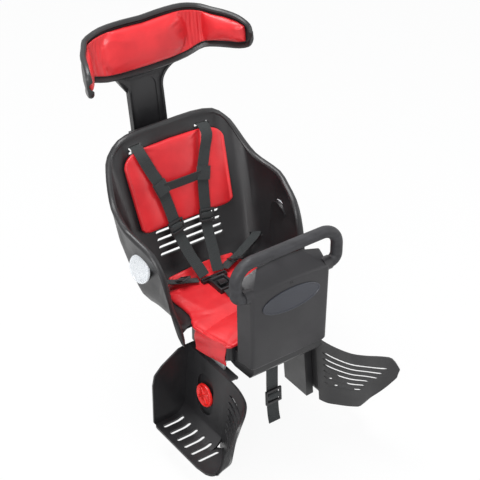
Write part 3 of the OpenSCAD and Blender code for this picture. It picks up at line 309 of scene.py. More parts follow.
webbing, st, sh = surface("black_webbing", 0.74, 0.35)
weave = math_node(st, "MULTIPLY", wave(st, 210, "Y"), wave(st, 120, "X"))
tint(st, sh, weave, (0.012, 0.0145, 0.015), (0.038, 0.045, 0.046), 0.0, 0.9)
sh.inputs["Sheen Weight"].default_value = 0.15
sh.inputs["Sheen Roughness"].default_value = 0.5
relief(st, sh, (weave, 0.00045, 0.8), (speckle(st, 2400, 2), 0.0001, 0.4))
print("webbing:", webbing.name)

# %% [markdown]
# The stays are bare bright steel strip, drawn lengthways, so fine lines run down them. Screws
# and springs are zinc plated, the frame under the seat is powder coated, and the round buttons
# are glossy red plastic.

# %% Metals, red plastic, foam and reflector
stay_steel, st, sh = surface("bright_steel", 0.34, 0.5, 0.85)
tint(st, sh, speckle(st, 60, 3, (8, 8, 0.6)), (0.60, 0.61, 0.62), (0.78, 0.79, 0.80))
gloss(st, sh, speckle(st, 300, 3, (6, 6, 0.15)), 0.28, 0.46)
relief(st, sh, (speckle(st, 500, 2, (6, 6, 0.1)), 0.00005, 0.5))

zinc, st, sh = surface("zinc_plate", 0.36, 0.5, 1.0)
tint(st, sh, speckle(st, 160, 4), (0.46, 0.47, 0.49), (0.62, 0.63, 0.65))
gloss(st, sh, speckle(st, 400, 3), 0.28, 0.46)
relief(st, sh, (speckle(st, 1800, 2), 0.00004, 0.5))

coated_steel, st, sh = surface("coated_steel", 0.45, 0.5)
tint(st, sh, speckle(st, 20, 3), (0.012, 0.012, 0.013), (0.020, 0.020, 0.022))
gloss(st, sh, speckle(st, 300, 2), 0.38, 0.52)
relief(st, sh, (speckle(st, 700, 3), 0.00015, 0.6))

red_plastic, st, sh = surface("red_plastic", 0.24, 0.5)
tint(st, sh, speckle(st, 30, 3), (0.66, 0.012, 0.010), (0.80, 0.022, 0.018))
gloss(st, sh, speckle(st, 120, 3), 0.20, 0.32)
relief(st, sh, (speckle(st, 900, 2), 0.00005, 0.4))

foam, st, sh = surface("sleeve_foam", 0.62, 0.45)
tint(st, sh, speckle(st, 90, 4, (0.4, 1, 1)), (0.015, 0.015, 0.017), (0.030, 0.030, 0.034))
gloss(st, sh, speckle(st, 140, 4, (0.4, 1, 1)), 0.46, 0.66)
relief(st, sh, (speckle(st, 160, 3, (0.25, 1, 1)), 0.0007, 0.5), (cells(st, 1500), 0.00015, 0.6))

lens, st, sh = surface("reflector_lens", 0.12, 0.5)
facets = cells(st, 260, "DISTANCE_TO_EDGE")
tint(st, sh, facets, (0.62, 0.65, 0.68), (0.88, 0.90, 0.92), 0.0, 0.2)
sh.inputs["Coat Weight"].default_value = 0.8
sh.inputs["Coat Roughness"].default_value = 0.05
relief(st, sh, (facets, 0.0008, 0.35))
print("finishes:", len(bpy.data.materials))

# %% [markdown]
# The hard pieces keep the exact shape of the frame. Its meshes are loose triangles, so each
# piece gets a copy with its corners merged and the triangles of every flat face joined. The
# copy's curves are shaded smooth, real corners stay sharp, and a small bevel rounds them,
# because a moulded or pressed edge always catches a thin line of light.

def new_piece(name, mesh, finish, body, stands_for=()):
    piece = bpy.data.objects.new(name, mesh)
    scene.collection.objects.link(piece)
    if finish:
        mesh.materials.clear()
        mesh.materials.append(finish)
    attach(piece, body)
    if stands_for:
        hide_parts(*stands_for)
    return piece

def shade(bm, corner):
    """Shades smooth, apart from edges that turn by more than the corner angle."""
    for face in bm.faces:
        face.smooth = True
    for edge in bm.edges:
        edge.smooth = len(edge.link_faces) == 2 and edge.calc_face_angle(0) < corner

CORNER = math.radians(32)
MERGE = 1e-5

def dress(node, finish, edge=0.0):
    mesh = nodes[node].data.copy()
    bm = bmesh.new()
    bm.from_mesh(mesh)
    bmesh.ops.remove_doubles(bm, verts=bm.verts, dist=MERGE)
    bmesh.ops.dissolve_limit(bm, angle_limit=math.radians(0.5), verts=bm.verts, edges=bm.edges)
    shade(bm, CORNER)
    bm.to_mesh(mesh)
    bm.free()
    piece = new_piece(node + "_skin", mesh, finish, body_of_node[node], (node,))
    if edge:
        soft = piece.modifiers.new("edge", "BEVEL")
        soft.width, soft.segments, soft.limit_method = edge, 2, "ANGLE"
        soft.angle_limit, soft.harden_normals = CORNER, True

for node, finish, edge in (
        ("seat_shell", shell_black, 0.0), ("headrest_shell", shell_black, 0.0012),
        ("headrest_guide", trim_black, 0.0012), ("front_panel", panel_black, 0.0),
        ("panel_rear_cover", trim_black, 0.0010), ("panel_bracket", trim_black, 0.0015),
        ("base_frame", coated_steel, 0.0008), ("shell_bolts", zinc, 0.0005),
        ("stay_left", stay_steel, 0.0006), ("stay_right", stay_steel, 0.0006),
        ("stay_bolts", zinc, 0.0006), ("guide_screws", zinc, 0.0006),
        ("headrest_button", trim_black, 0.0008), ("headrest_spring", zinc, 0.0),
        ("panel_screws", zinc, 0.0005), ("grip_bar", coated_steel, 0.0),
        ("grip_sleeve", foam, 0.0), ("footrest_left", shell_black, 0.0009),
        ("footrest_right", shell_black, 0.0009), ("foot_carriage_left", trim_black, 0.0012),
        ("foot_carriage_right", trim_black, 0.0012), ("foot_spring_left", zinc, 0.0),
        ("foot_spring_right", zinc, 0.0), ("buckle_tongue", trim_black, 0.0010)):
    dress(node, finish, edge)

# %% [markdown]
# Cushions and straps lie on the shell, so they need to know where its surface is. The shell is
# ruled by a row of stations from the middle of the back round to the side: the rim above, the
# foot of the wall below. A smooth curve runs through the stations, and a point on the wall is
# found by its station and its height. All of these are in millimetres, as on a drawing.

# %% Surfaces that the soft pieces lie on
PAN_Z, GAP = 38.0, 0.4
SHELL_ROWS = [(0, 211, 346, 0, 97), (66, 211, 346, 60, 97), (112, 204, 341, 95, 96),
              (138, 197, 320, 118, 90), (150, 183, 298, 130, 81), (160, 163, 270, 137, 71),
              (169, 138, 247, 140, 62), (176, 108, 239, 141, 54), (182, 71, 232, 142, 42)]
HEAD_ROWS = [(0, 281, 430, 548), (50, 281, 431, 550), (95, 279, 436, 549), (130, 272, 448, 542),
             (147, 251, 454, 538), (163, 227, 457, 536), (175, 198, 463, 533), (183, 177, 473, 524),
             (185, 171, 484, 513)]

def along(rows, u):
    """The point of a smooth curve through the rows, at u counted in rows."""
    i = min(int(u), len(rows) - 2)
    t = u - i
    a, b, c, d = (Vector(rows[k]) for k in (max(i - 1, 0), i, i + 1, min(i + 2, len(rows) - 1)))
    return 0.5 * (2 * b + (c - a) * t + (2 * a - 5 * b + 4 * c - d) * t * t
                  + (3 * b - a - 3 * c + d) * t * t * t)

def wall(u, z):
    q, side = along(SHELL_ROWS, abs(u)), -1 if u < 0 else 1
    f = (z - PAN_Z) / (q[2] - PAN_Z)
    return Vector((side * (q[3] + (q[0] - q[3]) * f), q[4] + (q[1] - q[4]) * f, z))

def head(u, f, out):
    q, side = along(HEAD_ROWS, abs(u)), -1 if u < 0 else 1
    a, b = along(HEAD_ROWS, max(abs(u) - 0.1, 0)), along(HEAD_ROWS, min(abs(u) + 0.1, 8))
    n = Vector((a[1] - b[1], b[0] - a[0])).normalized()
    z, off = q[2] + (q[3] - q[2]) * f, out + 5 * (1 - (2 * f - 1) ** 2)
    return Vector((side * (q[0] + n[0] * off),
                   q[1] + n[1] * off + (z - 490) * math.tan(math.radians(9)), z))

def back_y(z):
    return wall(0, z).y

def on_pad_y(z):
    return back_y(z) - GAP - 18.0

print("back of the shell at z 200 mm: y", round(back_y(200), 1), "mm")


# %% [markdown]
# A cushion is foam in a sewn cover: it swells between its seams and is flat only where it lies
# on the plastic. A cloth simulation with air pressure inside gives exactly that. The cover
# starts as a slim slab laid on its surface, its underside and its seam lines are held, and the
# pressure lifts the rest. How far a point may move is capped, so the cushion keeps its size.

# %% Helper that lays a slim cover on a surface
def slim_cover(name, nx, ny, place, slim, seams):
    """place(f, t) gives a point in millimetres; seams(f, t) how far in the cover is pulled."""
    bm = bmesh.new()
    bmesh.ops.create_grid(bm, x_segments=nx, y_segments=ny, size=1)
    across, up = bm.verts.layers.float.new("across"), bm.verts.layers.float.new("up")
    for v in bm.verts:
        v[across], v[up] = v.co.x, (v.co.y + 1) / 2
        v.co = place(v[across], v[up]) / 1000
    bm.normal_update()
    bmesh.ops.solidify(bm, geom=bm.faces[:], thickness=-slim / 1000)
    bm.normal_update()
    front = []
    for v in bm.verts:
        base = place(v[across], v[up]) / 1000
        proud = v.co - base
        front.append(proud.length > slim / 2000)
        if front[-1]:
            v.co = base + proud * (1 - min(0.75, seams(v[across], v[up])))
    cover = as_mesh(bm, name)
    up_at = [d.value for d in cover.attributes["up"].data]
    across_at = [d.value for d in cover.attributes["across"].data]
    return cover, list(zip(across_at, up_at, front))

# %% Helper that blows up a cover
def as_mesh(bm, name, angle=180):
    bmesh.ops.recalc_face_normals(bm, faces=bm.faces)
    shade(bm, math.radians(angle))
    mesh = bpy.data.meshes.new(name)
    bm.to_mesh(mesh)
    bm.free()
    return mesh

FRAMES, STIFF = 20, 5.0

def blow_up(cover, held, cap, pressure):
    """held lists the points that stay; cap is the furthest move in metres."""
    work = bpy.data.objects.new("work", cover)
    scene.collection.objects.link(work)
    rest = [v.co.copy() for v in cover.vertices]
    work.vertex_groups.new(name="held").add(held, 1.0, "REPLACE")
    cloth = work.modifiers.new("cloth", "CLOTH")
    cs = cloth.settings
    cs.quality, cs.mass, cs.air_damping = 6, 0.2, 2.0
    cs.tension_stiffness = cs.compression_stiffness = STIFF
    cs.shear_stiffness, cs.bending_stiffness = STIFF * 0.5, 0.05
    cs.use_pressure, cs.uniform_pressure_force = True, pressure
    cs.vertex_group_mass = "held"
    cs.effector_weights.gravity = 0
    cloth.point_cache.frame_start, cloth.point_cache.frame_end = 1, FRAMES
    for frame_no in range(1, FRAMES + 1):
        scene.frame_set(frame_no)
    swollen = bpy.data.meshes.new_from_object(
        work.evaluated_get(bpy.context.evaluated_depsgraph_get()))
    for v, start in zip(swollen.vertices, rest):
        move = v.co - start
        if move.length > cap:
            v.co = start + move * (cap / move.length)
    scene.frame_set(1)
    bpy.data.objects.remove(work)
    furthest = max((v.co - start).length for v, start in zip(swollen.vertices, rest))
    print("swollen by up to", round(furthest * 1000, 1), "mm")
    return swollen

def cushion(mesh, name, body, node):
    bm = bmesh.new()
    bm.from_mesh(mesh)
    bmesh.ops.smooth_vert(bm, verts=bm.verts, factor=0.3, use_axis_x=True, use_axis_y=True,
                          use_axis_z=True)
    piece = new_piece(name, as_mesh(bm, name), red_vinyl, body, (node,))
    fine = piece.modifiers.new("fine", "SUBSURF")
    fine.levels = fine.render_levels = 1
    print(name, len(piece.data.vertices), "points")

def near(value, at, reach):
    """1 on a seam's line, falling to 0 at its reach."""
    return max(0.0, 1 - abs(value - at) / reach)

# %% [markdown]
# The back cushion has three lobes: a wide middle panel, and a puffy one at each side. The
# channels between them lean inwards as they go down, and the shoulder straps lie in them. The
# outer edge is a doubled fold, so a second, shallower seam runs close to each side.

# %% Back cushion
def on_back(f, t):
    drop = 13 * abs(f) ** 7
    low, high = 150 + drop, 314 - 5 * abs(f) - 1.7 * drop
    return wall(f * 2.35, low + (high - low) * t) - Vector((0, GAP + 0.4 + 3.4 * abs(f) ** 3, 0))

FOLD = 0.9

def past_channel(f, t):
    """How far a point lies outside the channel's line, in millimetres."""
    return abs(on_back(f, t).x) - (36 + 34 * t)

def back_seams(f, t):
    return max(0.7 * near(past_channel(f, t), 0, 7), 0.35 * near(abs(f), FOLD, 0.035))

cover, spots = slim_cover("back_cushion", 84, 44, on_back, 7, back_seams)
held = [i for i, (f, t, front) in enumerate(spots) if not front
        or abs(past_channel(f, t)) < 1.6 or abs(abs(f) - FOLD) < 0.012]
cushion(blow_up(cover, held, 0.012, 20.0), "back_cushion", "seat", "back_pad")

# %% [markdown]
# The headrest cushion is one cover with three swollen fields. The middle one is shaped like a
# lens. Beside it the cover is gathered into narrow upright folds, so that it can bend into the
# wings, and a rounded pad fills each wing.

# %% Headrest cushion
HEAD_REACH = 6.6

def on_head(f, t):
    u = f * HEAD_REACH
    q = along(HEAD_ROWS, abs(u))
    margin = 13.5 / (q[3] - q[2])
    return head(u, margin + (1 - 2 * margin) * t, -(GAP + 1.2))

def lens_edge(t):
    return 99 - 24 * abs(2 * t - 1) ** 3

def wing_edge(t):
    return 3.12 + 0.16 * abs(2 * t - 1) ** 3

def in_gathers(f, t):
    return abs(on_head(f, t).x) > lens_edge(t) and abs(f * HEAD_REACH) < wing_edge(t)

def head_seams(f, t):
    if in_gathers(f, t):
        fold = noise.noise(Vector((f * 62, t * 2.2, 3.1))) + 0.8 * math.sin(f * 190)
        return 0.36 + 0.36 * fold
    x, u, row = abs(on_head(f, t).x), abs(f * HEAD_REACH), 3.0 * (1 - abs(2 * t - 1))
    if x <= lens_edge(t):
        seam, inner, crown = near(x, lens_edge(t), 5), 4.0 * (1 - x / lens_edge(t)), 1.7
    else:
        inner = 0.9 * min(u - wing_edge(t), HEAD_REACH - u)
        seam, crown = near(u, wing_edge(t), 0.2), 1.0
    return 0.75 * seam - crown * math.sqrt(max(0.0, min(1.0, inner) * min(1.0, row)))

cover, spots = slim_cover("headrest_cushion", 150, 26, on_head, 6, head_seams)
held = [i for i, (f, t, front) in enumerate(spots) if not front or in_gathers(f, t)]
cushion(blow_up(cover, held, 0.009, 16.0), "headrest_cushion", "headrest", "headrest_pad")

# %% [markdown]
# The seat cushion is thin and firm. It starts on the curve at the foot of the back, follows
# the pan, widens over the saddle nose and ends in three flaps that cover the edge of the
# plastic: a long one hangs at each side, and a short one is turned down at the front. Lines of
# stitching keep its foam in place.

# %% Seat cushion
SEAT_ROWS = [(100, 70), (90, 84), (78, 96), (60, 104), (30, 105), (10, 103), (-16, 103),
             (-30, 107), (-46, 116), (-60, 121), (-90, 116), (-144, 105), (-150, 101), (-155, 93)]

def seat_half(y):
    for (y0, w0), (y1, w1) in zip(SEAT_ROWS, SEAT_ROWS[1:]):
        if y >= y1:
            s = (y0 - y) / (y0 - y1)
            return w0 + (w1 - w0) * s * s * (3 - 2 * s)
    return SEAT_ROWS[-1][1]

def on_seat(f, t):
    run = 258 * t - 38
    a = max(0.0, -run / 31)
    y = 66 - max(run, 0) + (31 - GAP) * math.sin(a)
    x = -f * seat_half(y)
    climb = (30 - GAP) * (1 - math.cos(a))
    return Vector((x, y - 5.5 * min(a, 1) * (x / 100) ** 4, PAN_Z + GAP + 0.3 + climb))

def seat_seams(f, t):
    p = on_seat(f, t)
    edge = abs(p.x) - seat_half(p.y)
    hem = near(edge, -9, 3.0) if p.y < -50 else 0.0
    line = near(p.y, -66 - 0.0016 * p.x ** 2, 4.0)
    return max(0.35 * hem, 0.35 * line, 0.3 * near(p.y, -146, 3))

cover, spots = slim_cover("seat_cushion", 64, 84, on_seat, 7.5, seat_seams)
held = [i for i, (f, t, front) in enumerate(spots) if not front or seat_seams(f, t) > 0.22]
seat_top = blow_up(cover, held, 0.0064, 11.0)

def on_flap(side):
    def place(f, t):
        y = -62 - 42 * (f + 1)
        half = 121.4 - (-62 - y) * 0.196
        drop = 2 + 57 * t
        bow = 3.0 * math.sin(math.pi * t) * (1 - 0.4 * f * f) + 1.2 * math.sin(9 * t + 2.2 * f)
        return Vector((side * (half - 3.2 + bow), y + (2 * t if f > 0 else -1 * t), 50.6 - drop))
    return place

def flap_seams(f, t):
    return 0.5 * near(t, 0.3 + 0.12 * f, 0.05) + 0.4 * near(abs(f), 0.93, 0.04)

def on_front(f, t):
    return Vector((69 * f, -154.6 - 1.2 * t, 50.2 - 12.5 * t - 1.4 * f * f))

bm = bmesh.new()
bm.from_mesh(seat_top)
for side in (1, -1):
    flap, spots = slim_cover("flap", 34, 24, on_flap(side), 3.0, flap_seams)
    held = [i for i, (f, t, front) in enumerate(spots)
            if t < 0.04 or abs(t - 0.3 - 0.12 * f) < 0.025 or (not front and abs(f) < 0.8)]
    bm.from_mesh(blow_up(flap, held, 0.003, 3.0))
bm.from_mesh(slim_cover("front_flap", 30, 6, on_front, 3.0, lambda f, t: 0.0)[0])
whole = bpy.data.meshes.new("seat_cushion")
bm.to_mesh(whole)
bm.free()
cushion(whole, "seat_cushion", "seat", "seat_pad")

# %% [markdown]
# Webbing is a flat ribbon that keeps its width as it bends. A grid is laid along the route, so
# that its UV map runs along the strap in metres, and is then given its thickness. Each route
# repeats the one in the frame, so every strap lies where its plain solid lies.

# %% Helper that lays a ribbon along a route
def ribbon(name, route, turn, wide, thick, steps, finish, body, stands_for=(),
           cols=6):
    rows = [Vector(p) for p in route]
    turn, last = Vector(turn), len(rows) - 1
    far = [0.0]
    for k in range(1, 241):
        far.append(far[-1] + (along(rows, last * k / 240) - along(rows, last * (k - 1) / 240)).length)
    bm = bmesh.new()
    bmesh.ops.create_grid(bm, x_segments=cols, y_segments=steps, size=0.5)
    uv = bm.loops.layers.uv.new("UVMap")
    for face in bm.faces:
        for loop in face.loops:
            x, s = loop.vert.co.x, loop.vert.co.y + 0.5
            loop[uv].uv = (x * wide / 1000, far[int(s * 240 + 0.5)] / 1000)
    for v in bm.verts:
        x, s = v.co.x, (v.co.y + 0.5) * last
        way = (along(rows, min(s + 0.02, last)) - along(rows, max(s - 0.02, 0))).normalized()
        up = way.cross(turn).normalized()
        v.co = (along(rows, s) + up.cross(way) * (x * wide) - up * (thick / 2)) / 1000
    bm.normal_update()
    bmesh.ops.solidify(bm, geom=bm.faces[:], thickness=-thick / 1000)
    piece = new_piece(name, as_mesh(bm, name, 50), finish, body, stands_for)
    print(name, round(far[-1]), "mm long")
    return piece

# %% Shoulder and lap straps
shoulder_route = [(80, back_y(318) + 14, 319), (80, back_y(318) - 8, 320),
                  (78, on_pad_y(305) - 2.5, 305)]
shoulder_route += [(x, on_pad_y(z), z)
                   for x, z in ((65, 272), (52, 240), (44, 200), (38, 160), (35, 140))]
shoulder_route += [(32, on_pad_y(126) - 4, 124), (27, 84, 96), (20, 62, 74), (17, 50, 62)]
lap_slot = wall(5, 84)
lap_route = [tuple(lap_slot + Vector((6, 5, 4))), tuple(lap_slot + Vector((-6, -4, -3))),
             (104, 76, 70), (80, 68, 64), (52, 60, 60), (32, 52, 58)]
for side, hand in ((-1, "left"), (1, "right")):
    ribbon("shoulder_webbing_" + hand, [(side * x, y, z) for x, y, z in shoulder_route], (1, 0, 0),
           25, 1.7, 90, webbing, "seat", ("shoulder_strap_" + hand,))
    ribbon("lap_webbing_" + hand, [(side * x, y, z) for x, y, z in lap_route],
           (-0.35 * side, 0.8, -0.2), 22, 1.7, 40, webbing, "seat", ("lap_strap_" + hand,))

# %% Chest, crotch and safety straps
chest_y = on_pad_y(235)
ribbon("chest_webbing", [(-44, chest_y - 4.2, 235), (-20, chest_y - 4.6, 234.4),
                         (20, chest_y - 4.6, 234.4), (44, chest_y - 4.2, 235)],
       (0, 0, 1), 20, 1.6, 30, webbing, "seat", ("chest_strap",))
ribbon("crotch_webbing", [(0, -26, 26), (0, -26, 40), (0, -26, 50.4), (0, -23, 55),
                          (0, -11.3, 57.5)],
       (1, 0, 0), 25, 1.7, 24, webbing, "seat", ("crotch_strap",))
ribbon("safety_webbing", [(0, -160, -11.8), (0, -162, -50), (0, -163, -90), (0, -165, -130),
                          (0, -169, -162), (0, -174, -180)], (1, 0, 0), 28, 1.7, 60, webbing, "seat",
       ("safety_strap",))

# %% [markdown]
# The chest strap ends in two sewn loops, and each loop is wrapped round a shoulder strap. A
# loop is a short flat sleeve, a little taller than the strap, that leans with the strap inside
# it. A cube without its two open ends is given a wall and rounded edges.

# %% Chest strap loops
def set_down(bm, centre, lean=0.0, tip=0.0, swing=0.0):
    turn = Matrix.Rotation(swing, 4, "Z") @ Matrix.Rotation(tip, 4, "X") @ Matrix.Rotation(lean, 4, "Y")
    bm.transform(Matrix.Translation(Vector(centre) / 1000) @ turn)

def uv_from(bm, across, along_axis):
    """Lays a UV map in metres from two of the axes, so that webbing shows its weave."""
    uv = bm.loops.layers.uv.new("UVMap")
    for face in bm.faces:
        for loop in face.loops:
            loop[uv].uv = (loop.vert.co[across], loop.vert.co[along_axis])

def block(size, round_by):
    bm = bmesh.new()
    bmesh.ops.create_cube(bm, size=1)
    bmesh.ops.scale(bm, vec=Vector(size) / 1000, verts=bm.verts)
    if round_by:
        bmesh.ops.bevel(bm, geom=bm.edges[:], offset=round_by / 1000, segments=3,
                        profile=0.5, affect="EDGES", material=-1, clamp_overlap=True)
    return bm

back_lean = -math.atan2(114, 308)
for side, hand in ((-1, "left"), (1, "right")):
    bm = bmesh.new()
    bmesh.ops.create_cube(bm, size=1)
    bmesh.ops.scale(bm, vec=(0.0305, 0.0068, 0.0285), verts=bm.verts)
    bmesh.ops.delete(bm, geom=[f for f in bm.faces if abs(f.normal.z) > 0.9], context="FACES")
    bmesh.ops.bevel(bm, geom=[e for e in bm.edges if not e.is_boundary], offset=0.0022, segments=3,
                    profile=0.5, affect="EDGES", material=-1)
    uv_from(bm, 2, 0)
    bmesh.ops.solidify(bm, geom=bm.faces[:], thickness=0.0014)
    set_down(bm, (side * 51.0, on_pad_y(235) - 0.9, 235), side * 0.3, back_lean)
    new_piece("chest_loop_" + hand, as_mesh(bm, "chest_loop", 50), webbing, "seat", ())

# %% [markdown]
# A ladder lock holds a strap by friction: the webbing goes up through one window, over the
# middle bar and down through the other window. A three by five grid gives the frame with its
# two windows, which are cut by deleting faces. The bars are thickened and rounded.

# %% Ladder locks
def ladder_lock(name, centre, wide, tall, thick, lean, tip, swing=0.0, stands_for=()):
    bm = bmesh.new()
    bmesh.ops.create_grid(bm, x_segments=3, y_segments=5, size=0.5)
    for v in bm.verts:
        x, y = v.co.x, v.co.y
        v.co.x = math.copysign(wide / 2 + 5.2 if abs(x) > 0.4 else wide / 2 + 1.2, x)
        v.co.y = math.copysign({5: 0.5, 3: 0.34, 1: 0.11}[round(abs(y) * 10)], y) * tall
        v.co.z = 0
    windows = [f for f in bm.faces if abs(f.calc_center_median().x) < 1
               and 0.12 * tall < abs(f.calc_center_median().y) < 0.34 * tall]
    bmesh.ops.delete(bm, geom=windows, context="FACES")
    bmesh.ops.solidify(bm, geom=bm.faces[:], thickness=thick)
    bmesh.ops.translate(bm, verts=bm.verts, vec=(0, 0, thick / 2))
    bmesh.ops.recalc_face_normals(bm, faces=bm.faces)
    bmesh.ops.bevel(bm, geom=[e for e in bm.edges if e.calc_face_angle(0) > 0.6], offset=0.9,
                    segments=2, profile=0.5, affect="EDGES", material=-1, clamp_overlap=True)
    bm.transform(Matrix.Scale(0.001, 4) @ Matrix.Rotation(math.radians(90), 4, "X"))
    set_down(bm, centre, lean, tip, swing)
    new_piece(name, as_mesh(bm, name, 40), trim_black, "seat", stands_for)
    bar = block((wide - 0.6, thick * 1.05, 0.40 * tall), 1.2)
    uv_from(bar, 0, 2)
    set_down(bar, centre, lean, tip, swing)
    new_piece(name + "_webbing", as_mesh(bar, name, 50), webbing, "seat", ())

for side, hand in ((-1, "left"), (1, "right")):
    ladder_lock("shoulder_lock_" + hand, (side * 37.1, on_pad_y(154) - 2.2, 154), 25, 27, 4.2,
                side * 0.16, back_lean, 0.0, ("strap_adjusters",) if side < 0 else ())
    ladder_lock("lap_lock_" + hand, (side * 66, 61.5, 66), 22, 25, 4.0, 1.57, 1.02, side * -0.2)
ladder_lock("safety_lock", (0, -166.6, -117), 28, 34, 5.0, 0.0, -0.06, 0.0, ("safety_adjuster",))

# %% [markdown]
# The buckle is a small black moulding with a raised frame and a square button. Its body is a
# block whose upper face is inset twice, once for the frame and once for the button's well.

# %% Buckle
def stepped(size, steps, round_by):
    """A block whose upper face is inset and pushed by each (margin, depth) in millimetres."""
    bm = block(size, 0)
    top = max(bm.faces, key=lambda f: f.normal.z)
    for margin, depth in steps:
        bmesh.ops.inset_region(bm, faces=[top], thickness=margin / 1000)
        bmesh.ops.translate(bm, verts=top.verts[:], vec=(0, 0, depth / 1000))
    bmesh.ops.bevel(bm, geom=[e for e in bm.edges if e.calc_face_angle(0) > 0.5],
                    offset=round_by / 1000, segments=2, profile=0.5, affect="EDGES", material=-1,
                    clamp_overlap=True)
    return bm

bm = stepped((38, 46, 13), ((3.0, 0.8), (4.0, -1.2), (2.2, -6.6)), 0.9)
set_down(bm, (0, 12, 57.4))
new_piece("buckle_case", as_mesh(bm, "buckle_case", 40), trim_black, "seat", ("buckle_body",))
bm = stepped((18, 16, 4.6), ((2.0, 0.0), (1.2, -0.7)), 0.6)
set_down(bm, (0, 12, 62.2))
new_piece("buckle_push", as_mesh(bm, "buckle_push", 40), trim_black, "buckle_button",
          ("buckle_button",))

# %% [markdown]
# The round buttons on the footrests carry a raised cross, so that a finger finds them. A
# profile is spun round the button's axis for the rim, the dish and the dome, and two rounded
# bars make the cross. The axis leans five degrees, as the stays do.

# %% Turned parts
def turned(profile, steps=64):
    """Spins a profile of (radius, height) pairs in millimetres about the z axis."""
    bm = bmesh.new()
    line = [bm.verts.new((r / 1000, 0, h / 1000)) for r, h in profile]
    edges = [bm.edges.new(pair) for pair in zip(line, line[1:])]
    bmesh.ops.spin(bm, geom=line + edges, cent=(0, 0, 0), axis=(0, 0, 1), dvec=(0, 0, 0),
                   angle=math.tau, steps=steps, use_merge=True, use_duplicate=False)
    bmesh.ops.remove_doubles(bm, verts=bm.verts, dist=2e-5)
    return bm

def joined(*parts):
    whole = bmesh.new()
    for part in parts:
        loose = bpy.data.meshes.new("part")
        part.to_mesh(loose)
        part.free()
        whole.from_mesh(loose)
        bpy.data.meshes.remove(loose)
    return whole

# %% Footrest buttons
KNOB_SET_BACK = 6.9
STAY_LEAN = math.radians(5)
for side, hand in ((-1, "left"), (1, "right")):
    low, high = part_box("foot_button_" + hand)
    outer = max(abs(low.x), abs(high.x)) * 1000
    disc = turned([(0, 0), (4, 0), (4, -0.6), (25, -0.6), (25, 3.0), (24.3, 4.2), (22.8, 4.8),
                   (20.8, 4.0), (19.2, 2.6), (16.0, 2.2), (7.0, 3.2), (0, 3.6)])
    bars = []
    for spin in (0, math.pi / 2):
        bar = block((6.0, 37.0, 2.8), 1.1)
        bmesh.ops.translate(bar, verts=bar.verts, vec=(0, 0, 0.0034))
        bar.transform(Matrix.Rotation(spin + 0.6, 4, "Z"))
        bars.append(bar)
    stem = turned([(0, -31), (4, -31), (4, 0.2), (0, 0.2)], 32)
    bm = joined(disc, stem, *bars)
    axis = Matrix.Rotation(side * math.radians(90), 4, "Y")
    tilt = Matrix.Rotation(-side * STAY_LEAN, 4, "Y")
    middle = (low + high) / 2
    seat_at = Matrix.Translation((side * (outer - KNOB_SET_BACK) / 1000, middle.y, middle.z))
    bm.transform(seat_at @ tilt @ axis)
    new_piece("knob_" + hand, as_mesh(bm, "knob", 35), red_plastic, "foot_button_" + hand,
              ("foot_button_" + hand,))

# %% [markdown]
# Each side carries a round reflector: a clear face over a bed of small prisms, held in a thin
# rim. The disc is spun like the buttons, with a groove between the face and the rim.

# %% Reflectors
for side, hand in ((-1, "left"), (1, "right")):
    low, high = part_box("reflector_" + hand)
    middle = (low + high) / 2
    disc = turned([(0, -2.9), (30, -2.9), (30, 1.2), (29.4, 2.2), (28.4, 2.8), (27.2, 2.6), (26.6, 1.6),
                   (25.8, 1.5), (25.2, 2.5), (14, 2.95), (0, 3.1)], 72)
    tilt = Matrix.Rotation(side * math.radians(80), 4, "Y")
    turn = Matrix.Rotation(-side * math.radians(5), 4, "Z")
    disc.transform(Matrix.Translation(middle) @ turn @ tilt)
    new_piece("reflector_disc_" + hand, as_mesh(disc, "reflector_disc", 35), lens, "seat",
              ("reflector_" + hand,))

# %% [markdown]
# The badge on the panel is a bare oval plate. A raised rim runs round it and the field inside
# lies a little lower. A circle is stretched to the oval, and each inset makes the next step.

# %% Badge and the small hole above it
bm = bmesh.new()
bmesh.ops.create_circle(bm, cap_ends=True, segments=96, radius=0.068)
bmesh.ops.scale(bm, vec=(1, 52 / 136, 1), verts=bm.verts)
field = bm.faces[:][0]
rim = bmesh.ops.extrude_face_region(bm, geom=[field])
top = [g for g in rim["geom"] if isinstance(g, bmesh.types.BMFace)][0]
bmesh.ops.translate(bm, verts=top.verts[:], vec=(0, 0, 0.0018))
for margin, depth in ((0.0007, 0.0006), (0.0016, 0.0), (0.0008, -0.0011)):
    bmesh.ops.inset_region(bm, faces=[top], thickness=margin)
    bmesh.ops.translate(bm, verts=top.verts[:], vec=(0, 0, depth))
bm.transform(Matrix.Translation((0, -0.218, 0.160)) @ Matrix.Rotation(math.radians(90), 4, "X"))
new_piece("badge", as_mesh(bm, "badge", 40), badge_grey, "seat", ("badge_plate",))

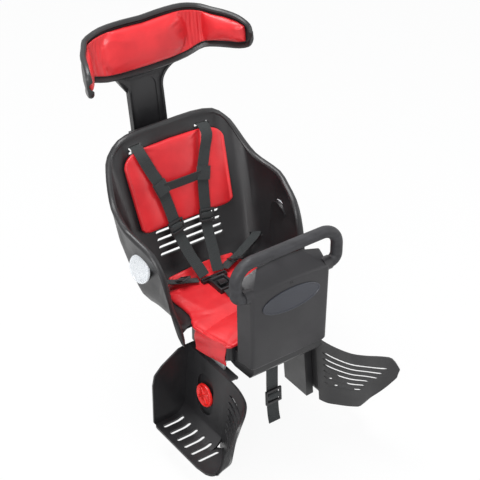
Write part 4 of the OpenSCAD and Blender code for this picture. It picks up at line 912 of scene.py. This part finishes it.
hole = turned([(0, -0.4), (2.2, -0.4), (2.4, 0.25), (3.2, 0.35), (3.4, -0.8)], 32)
hole.transform(Matrix.Translation((0, -0.2182, 0.1975)) @ Matrix.Rotation(math.radians(90), 4, "X"))
new_piece("panel_hole", as_mesh(hole, "panel_hole", 35), trim_black, "seat", ())

# %% [markdown]
# The headrest's post flares into the headrest in two concave curves, and a raised border runs
# up each long edge and out along the curve. The flare is an arc with its outer corner filled,
# made thick. The border is a ribbon along the same line, with a rounded section.

# %% Post flare and borders
LEAN = math.radians(9)

def on_post(x, y, z):
    """A point from the post's own frame, in millimetres: z runs up the post, y to the rear."""
    return Vector((x, 268 + y * math.cos(LEAN) + z * math.sin(LEAN),
                   328 - y * math.sin(LEAN) + z * math.cos(LEAN)))

def flare(angle, radius, start_x):
    """A point of the flare's concave curve, across the post and up it."""
    return start_x + 1.4 * radius * (1 - math.cos(angle)), 62 + radius * math.sin(angle)

FLARE = 44
for side, hand in ((-1, "left"), (1, "right")):
    bm = bmesh.new()
    bmesh.ops.create_grid(bm, x_segments=24, y_segments=8, size=0.5)
    for v in bm.verts:
        inward = v.co.y + 0.5
        x, z = flare((v.co.x + 0.5) * math.radians(78), FLARE, 38.5)
        v.co = on_post(side * (x + (36 - x) * inward), -0.3, z + 4 * inward) / 1000
    bmesh.ops.recalc_face_normals(bm, faces=bm.faces)
    if sum(f.normal.y for f in bm.faces) > 0:
        bmesh.ops.reverse_faces(bm, faces=bm.faces)
    bmesh.ops.solidify(bm, geom=bm.faces[:], thickness=0.0138)
    new_piece("post_flare_" + hand, as_mesh(bm, "post_flare", 40), shell_black, "headrest", ())
    line = [on_post(side * 36.1, -1.2, z) for z in range(-66, 50, 22)]
    for degrees in (4, 22, 40, 56, 68):
        x, z = flare(math.radians(degrees), FLARE + 2, 36.1)
        line.append(on_post(side * x, -1.2, z))
    edge = ribbon("post_border_" + hand, [tuple(p) for p in line], (side, 0, 0), 4.6, 2.4, 70,
                  shell_black, "headrest", (), 3)
    soft = edge.modifiers.new("round", "BEVEL")
    soft.width, soft.segments, soft.limit_method = 0.0009, 2, "ANGLE"
